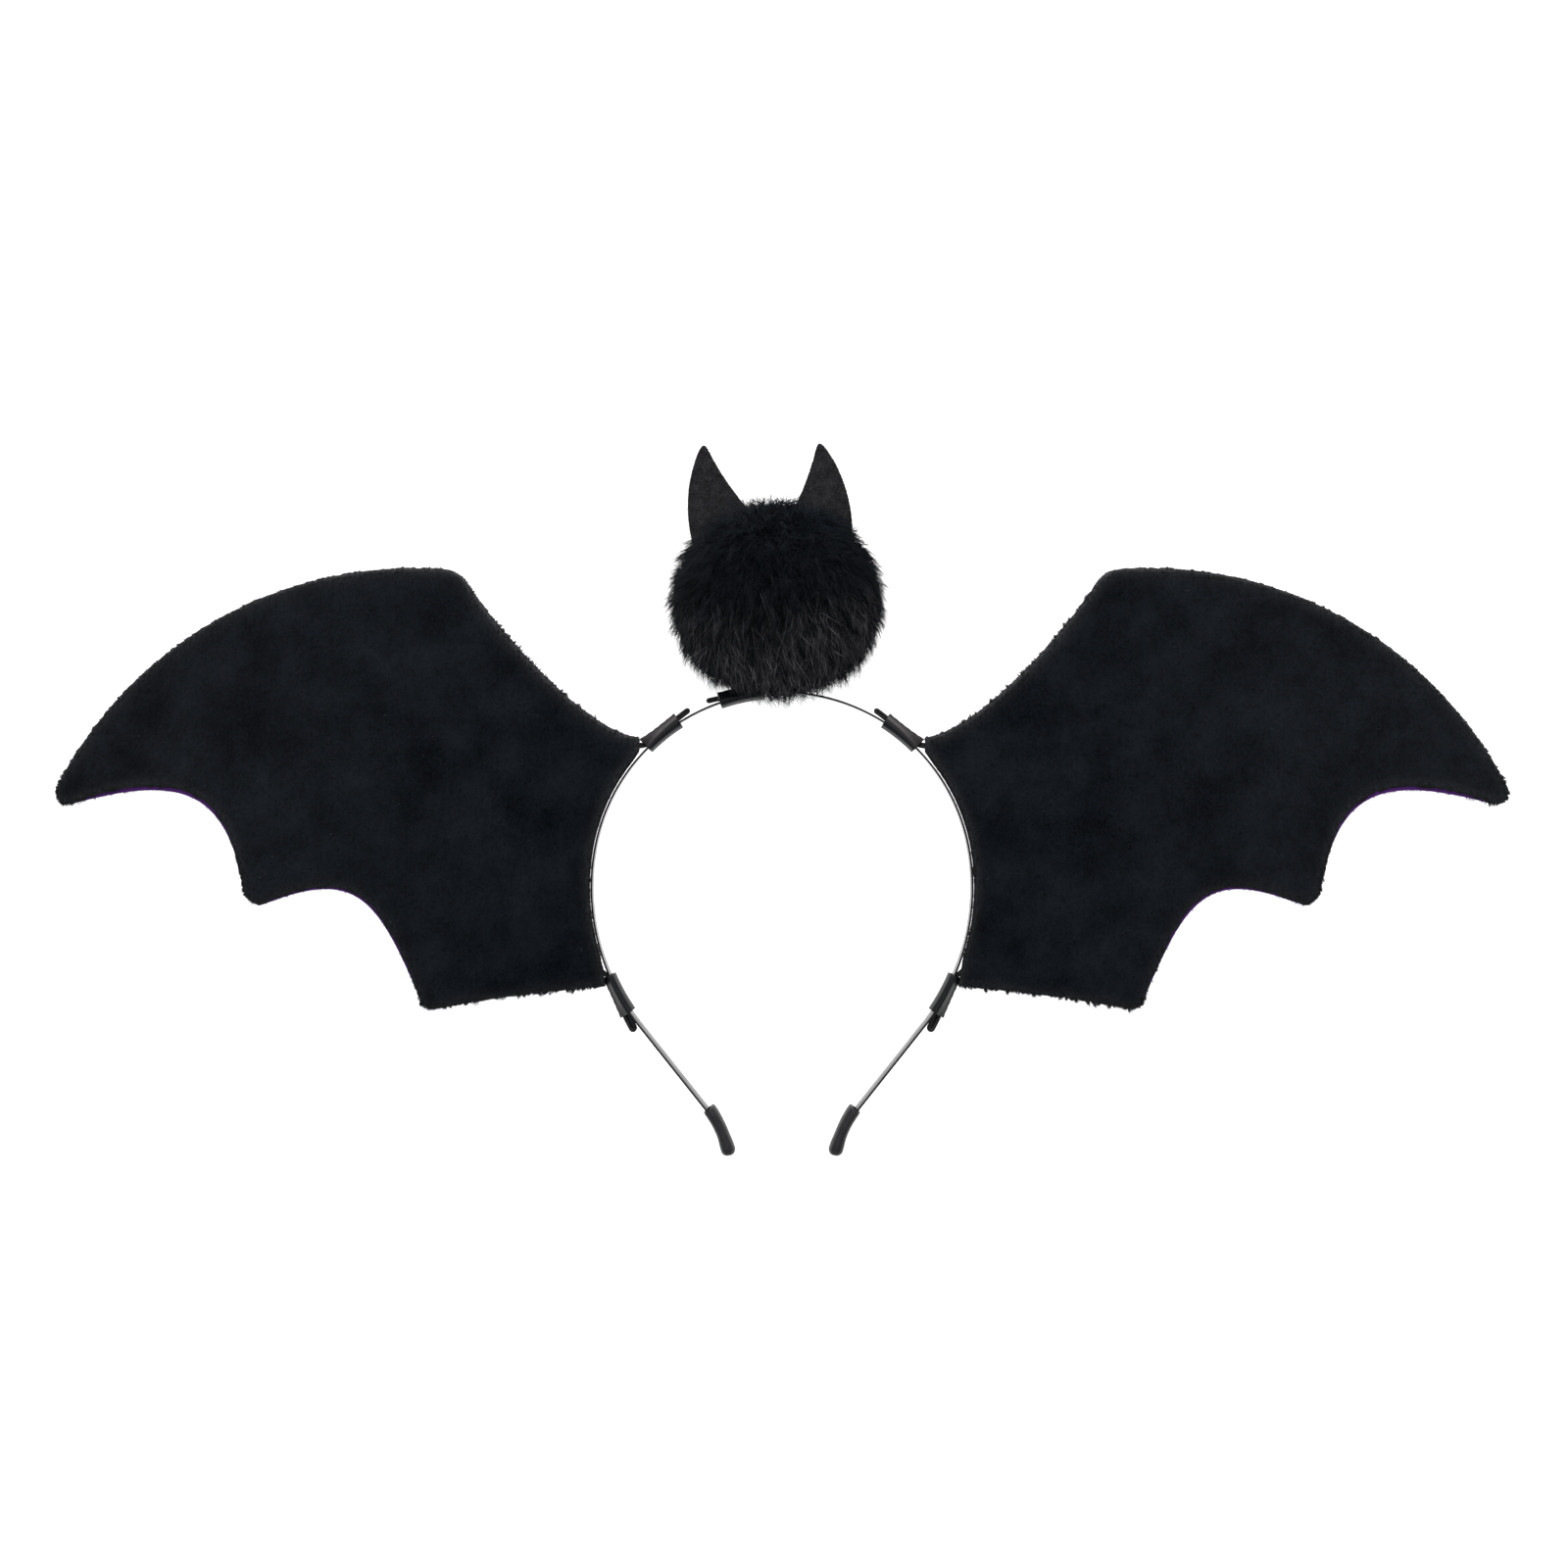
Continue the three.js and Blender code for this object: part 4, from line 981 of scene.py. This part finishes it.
# a leaf between a slightly hollow inner edge and a bulging outer one, cupped across, with a round rim
def makeEar(name, seed):
    rng = np.random.default_rng(seed)
    side, tipX, tipY = ear["tips"][name]
    down = np.maximum(np.linspace(0, 1, ear["rows"]) ** ear["rowsPower"], ear["blunt"])
    share = eased(ear["across"])
    inner = bezier(*ear["inner"])(down)
    outer = bezier(*ear["outer"])(down)
    middle, half = (inner + outer) / 2, (outer - inner) / 2
    below = np.abs(middle[:, 1:])
    wide = np.linalg.norm(half, axis=1, keepdims=True)
    half = half / wide * np.sqrt(wide ** 2 + 2 * ear["tipRadius"] * below * np.exp(-below / ear["tipEase"]))
    flat = middle[:, None] + half[:, None] * (2 * share - 1)[None, :, None]
    bow = 4 * share * (1 - share)
    deep = ear["thickness"] / 2 * (ear["rim"] + (1 - ear["rim"]) * np.sqrt(bow))
    cup = -ear["cup"] * bow[None] * down[:, None]
    cup = cup + ear["wave"] * ripples(flat[..., 0], flat[..., 1], ear["waveLength"], seed)
    lean = radians(ear["leanDeg"])

    def face(turned):
        x, y = side * flat[..., 0], flat[..., 1]
        return np.stack([tipX + x * cos(lean) - y * sin(lean),
                         tipY + x * sin(lean) + y * cos(lean), cup + turned * deep[None]], -1)

    front, back = face(1), face(-1)
    piece = addPiece(f"ear_felt_{name}", *loft(np.concatenate([front, back[:, ::-1]], 1)), felt, "felt",
                     [f"ear_{name}"])
    grid = np.concatenate([front, back[:, ::-1], front[:, :1]], 1)
    roots, normal, _ = scatter(grid, np.ones(grid.shape[:2]), ear["fuzz"], rng)
    outwards = np.sign((normal[:, 2] * np.where(roots[:, 2] > cup.mean(), 1, -1)).sum())
    direction = outwards * normal + rng.normal(0, ear["fuzzStray"], normal.shape)
    length = ear["fuzzLength"] * rng.uniform(*ear["fuzzVaries"], len(roots))
    fibres = spikes(roots, direction, length, ear["fuzzWidth"], rng)
    shade = ear["fuzzPale"] * rng.random(len(roots)) ** ear["fuzzPalePower"]
    fuzz = addFibres(f"ear_fuzz_{name}", fibres, shade, feltFuzz, "felt")


# Fur ball

ball = {
    "middle": np.array([-1.7, 88.3, 0]), "headRadius": 26.5, "flatter": 2.4, "headRows": 48,
    "headColumns": 72, "headRough": 0.8, "roughScale": 9, "roughSkew": 5, "roughLength": 2.2, "poleGap": 0.02,
    # how each coat grows (hairs, locks, stray, root, reach and how much that varies), its thickness and
    # what the rim adds to it, its share of the tip colour and of the painted light, and its seed
    "coats": {
        "under_coat": ((9500, 9000, 0.09, 24, 34.2, 2.2), 0.32, 0, 0.2, 4),
        "coat": ((16000, 7000, 0.08, 25, 34.6, 2.4), 0.1, 0.3, 0.75, 5),
        "guard_hairs": ((16000, 5200, 0.045, 27, 36.8, 3.4), 0.07, 1.5, 1.0, 6),
    },
    "steps": 3, "spread": 0.02, "gather": 0.9, "lockLean": 0.1, "lockVaries": 2.0, "lockSeed": 2,
    "comb": (0.02, -0.22, 0.0), "strayLeast": 0.3, "reachPower": 0.6, "thickVaries": (0.7, 1.25),
    "taper": 0.75, "taperPower": 1.5,
    "tieRadius": 63, "tieFore": 4.2, "floorEase": 3.5,
    # painted light on the hairs: painted pale streaks, a painted haze, and what they lose where a hair faces
    # away
    "sideways": (0.1, 0.15), "streakStart": -0.66, "streakRise": 2.4, "streakRange": (0.016, 1.5),
    "streakPower": 3.2, "streakThicker": 0.3, "haze": 0.07, "hazeStart": 0.32, "hazeRise": 0.75,
    "facingFull": 0.45, "facingLeast": 0.2,
}


# directions spread evenly over a sphere, by the golden angle
def evenDirections(count):
    place = (np.arange(count) + 0.5) / count
    height = 1 - 2 * place
    around = np.arange(count) * pi * (3 - sqrt(5))
    level = np.sqrt(1 - height ** 2)
    return np.stack([level * np.cos(around), level * np.sin(around), height], -1)


# what would sink below the floor is pressed towards it, the more the lower it would be
def pressed(points):
    placed = lay(points)
    ease = ball["floorEase"] * mm
    low = placed[..., 2] < ease
    placed[..., 2] = np.where(low, ease * np.exp(np.minimum(placed[..., 2] / ease - 1, 0)), placed[..., 2])
    return unlay(placed)


# a hair leaves the head straight out, gathers towards its lock's middle and hangs a little
def hairPaths(rng, count, lockCount, stray, root, longest, varies):
    start = unit(evenDirections(count) + rng.normal(0, ball["spread"], (count, 3)))
    shared = np.random.default_rng(ball["lockSeed"])   # the coats' locks follow one draw
    locks = unit(evenDirections(lockCount) + shared.normal(0, ball["spread"], (lockCount, 3)))
    lean = shared.normal(0, ball["lockLean"], locks.shape)
    longer = shared.normal(0, ball["lockVaries"] / 2, lockCount)
    parts = np.array_split(start, 24)   # one after another, to keep the tables small
    nearest = np.concatenate([np.argmax(part @ locks.T, 1) for part in parts])
    turn = ball["gather"] * (locks[nearest] - start) + lean[nearest] + np.array(ball["comb"])
    loose = ball["strayLeast"] + (1 - ball["strayLeast"]) * np.abs(start[:, 2:])
    turn = turn + loose * rng.normal(0, stray, start.shape)
    reach = longest - varies * rng.random(count) ** ball["reachPower"] + longer[nearest]
    reach = reach - ball["flatter"] * start[:, 1] ** 2
    far = ball["middle"] + unit(start + turn) * reach[:, None]
    overTie = (np.linalg.norm(far[:, :2], axis=1) < ball["tieRadius"]) & (np.abs(far[:, 2]) < ball["tieFore"])
    keep = ~overTie
    t = np.linspace(0, 1, ball["steps"])[None, :, None]
    direction = unit(start[keep, None] + turn[keep, None] * t ** 2)
    radius = root + (reach[keep, None, None] - root) * t
    return pressed(ball["middle"] + direction * radius)


# a coat of hairs: the lower a tip lies, and a little the further to the right, the more painted light it
# takes, as painted pale streaks and a painted haze
def makeFur(name, growth, thick, thicker, light, seed):
    rng = np.random.default_rng(seed)
    paths = hairPaths(rng, *growth)
    count = len(paths)
    away = paths[:, -1] - ball["middle"]
    outward = unit(away)
    thick = thick * (1 + thicker * (1 - np.abs(outward[:, 2])))
    thick = thick * rng.uniform(*ball["thickVaries"], count)
    right, height = (away / ball["headRadius"]).T[:2]
    # painted light: lighter lower down and to the right, and less where a hair faces away
    turned = height - ball["sideways"][0] * right - ball["sideways"][1] * right ** 2
    bright = rng.random(count) ** ball["streakPower"]
    facing = np.clip(outward[:, 2] / ball["facingFull"], ball["facingLeast"], 1)
    lit = np.clip(ball["streakStart"] - ball["streakRise"] * turned, *ball["streakRange"])
    streaks = lit * bright * facing
    haze = ball["haze"] * np.clip(ball["hazeStart"] - ball["hazeRise"] * turned, 0, 1) * facing
    thick = thick * (1 + ball["streakThicker"] * thicker * np.minimum(streaks, 1))
    share = np.linspace(0, 1, ball["steps"])
    radii = thick[:, None] * (1 - ball["taper"] * share ** ball["taperPower"])
    points, faces, along = taperedHairs(paths, radii)
    shade = np.repeat(light * (streaks + haze), len(points) // count)
    addPiece(name, points, faces, fur, "fur",
             values={"alongFibre": light * along, "fibreShade": shade})


# the head under the hairs: a ball with a rough skin, pressed flat where it lies
def makeHead():
    polar = np.linspace(ball["poleGap"], pi - ball["poleGap"], ball["headRows"])[:, None]
    around = evenAngles(ball["headColumns"])[None]
    x, y = np.sin(polar) * np.cos(around), np.sin(polar) * np.sin(around)
    z = np.cos(polar) * np.ones_like(around)
    scale, skew = ball["roughScale"], ball["roughSkew"]
    rough = ball["headRough"] * ripples(scale * x + skew * z, scale * y, ball["roughLength"], 3)
    points = ball["middle"] + np.stack([x, y, z], -1) * (ball["headRadius"] + rough)[..., None]
    piece = addPiece("pompom_head", *loft(pressed(points)), furGround, "fur", ["pompom"])


makeHead()
for label, row in ball["coats"].items():
    makeFur("pompom_" + label, *row)
for name, seed in (("left", 21), ("right", 22)):
    makeEar(name, seed)
print("fur ball and ears made")

# Floor and lights

studio = {
    "floor": 30.0, "floorRows": 5, "floorGlow": 0.9, "mirroredGlow": 1.1, "world": 0.16,
    "lights": [
        # name, place in metres, size, power and colour
        ("key", (0.1, 1.0, 1.5), 1.4, 21.0, (1, 0.98, 0.97)),
        ("low", (0.0, 1.7, 0.55), 0.9, 17.0, (1, 0.9, 0.9)),
        ("fill", (-0.7, -0.6, 1.7), 1.6, 4.0, (0.88, 0.96, 1)),
        ("overhead", (0.3, -0.1, 2.2), 1.8, 5.0, (0.94, 0.98, 1)),
    ],
}


def makeFloor():
    half = studio["floor"] / 2
    edge = np.linspace(-half, half, studio["floorRows"])
    x, y = np.meshgrid(edge, edge, indexing="ij")
    points = np.stack([x, y, np.zeros_like(x)], -1).reshape(-1, 3)
    mesh = bpy.data.meshes.new("floor")
    mesh.from_pydata(points.tolist(), [], quadGrid(len(edge), len(edge)).tolist())
    material, tree, shader = newMaterial(
        "floor", Base_Color=rgb(0.9, 0.9, 0.9), Roughness=0.9, shine=0.1,
        Emission_Color=rgb(1, 1, 1))
    rays = addNode(tree, "LightPath").outputs
    seen = mathNode(tree, "MULTIPLY", rays["Is Camera Ray"], studio["floorGlow"])
    reflected = mathNode(tree, "MULTIPLY", rays["Is Glossy Ray"], studio["mirroredGlow"])
    tree.links.new(mathNode(tree, "ADD", seen, reflected), shader.inputs["Emission Strength"])
    mesh.materials.append(material)
    addObject("floor", mesh)


def makeLights():
    world = bpy.data.worlds.new("studio")
    world.use_nodes = True
    tree = world.node_tree
    background = tree.nodes["Background"]
    background.inputs["Color"].default_value = rgb(1, 1, 1)
    seen = addNode(tree, "LightPath").outputs["Is Camera Ray"]
    tree.links.new(spreadOut(tree, seen, 0.0, 1.0, studio["world"]), background.inputs["Strength"])
    bpy.context.scene.world = world
    for name, place, size, power, colour in studio["lights"]:
        data = bpy.data.lights.new(name, "AREA")
        data.shape = "DISK"
        data.size = size
        data.energy = power
        data.color = colour
        light = addObject(name, data)
        light.location = place
        light.rotation_euler = (-light.location).to_track_quat("-Z", "Y").to_euler()
    bpy.context.scene.view_settings.view_transform = "Standard"


makeFloor()
makeLights()
print("floor and lights made")
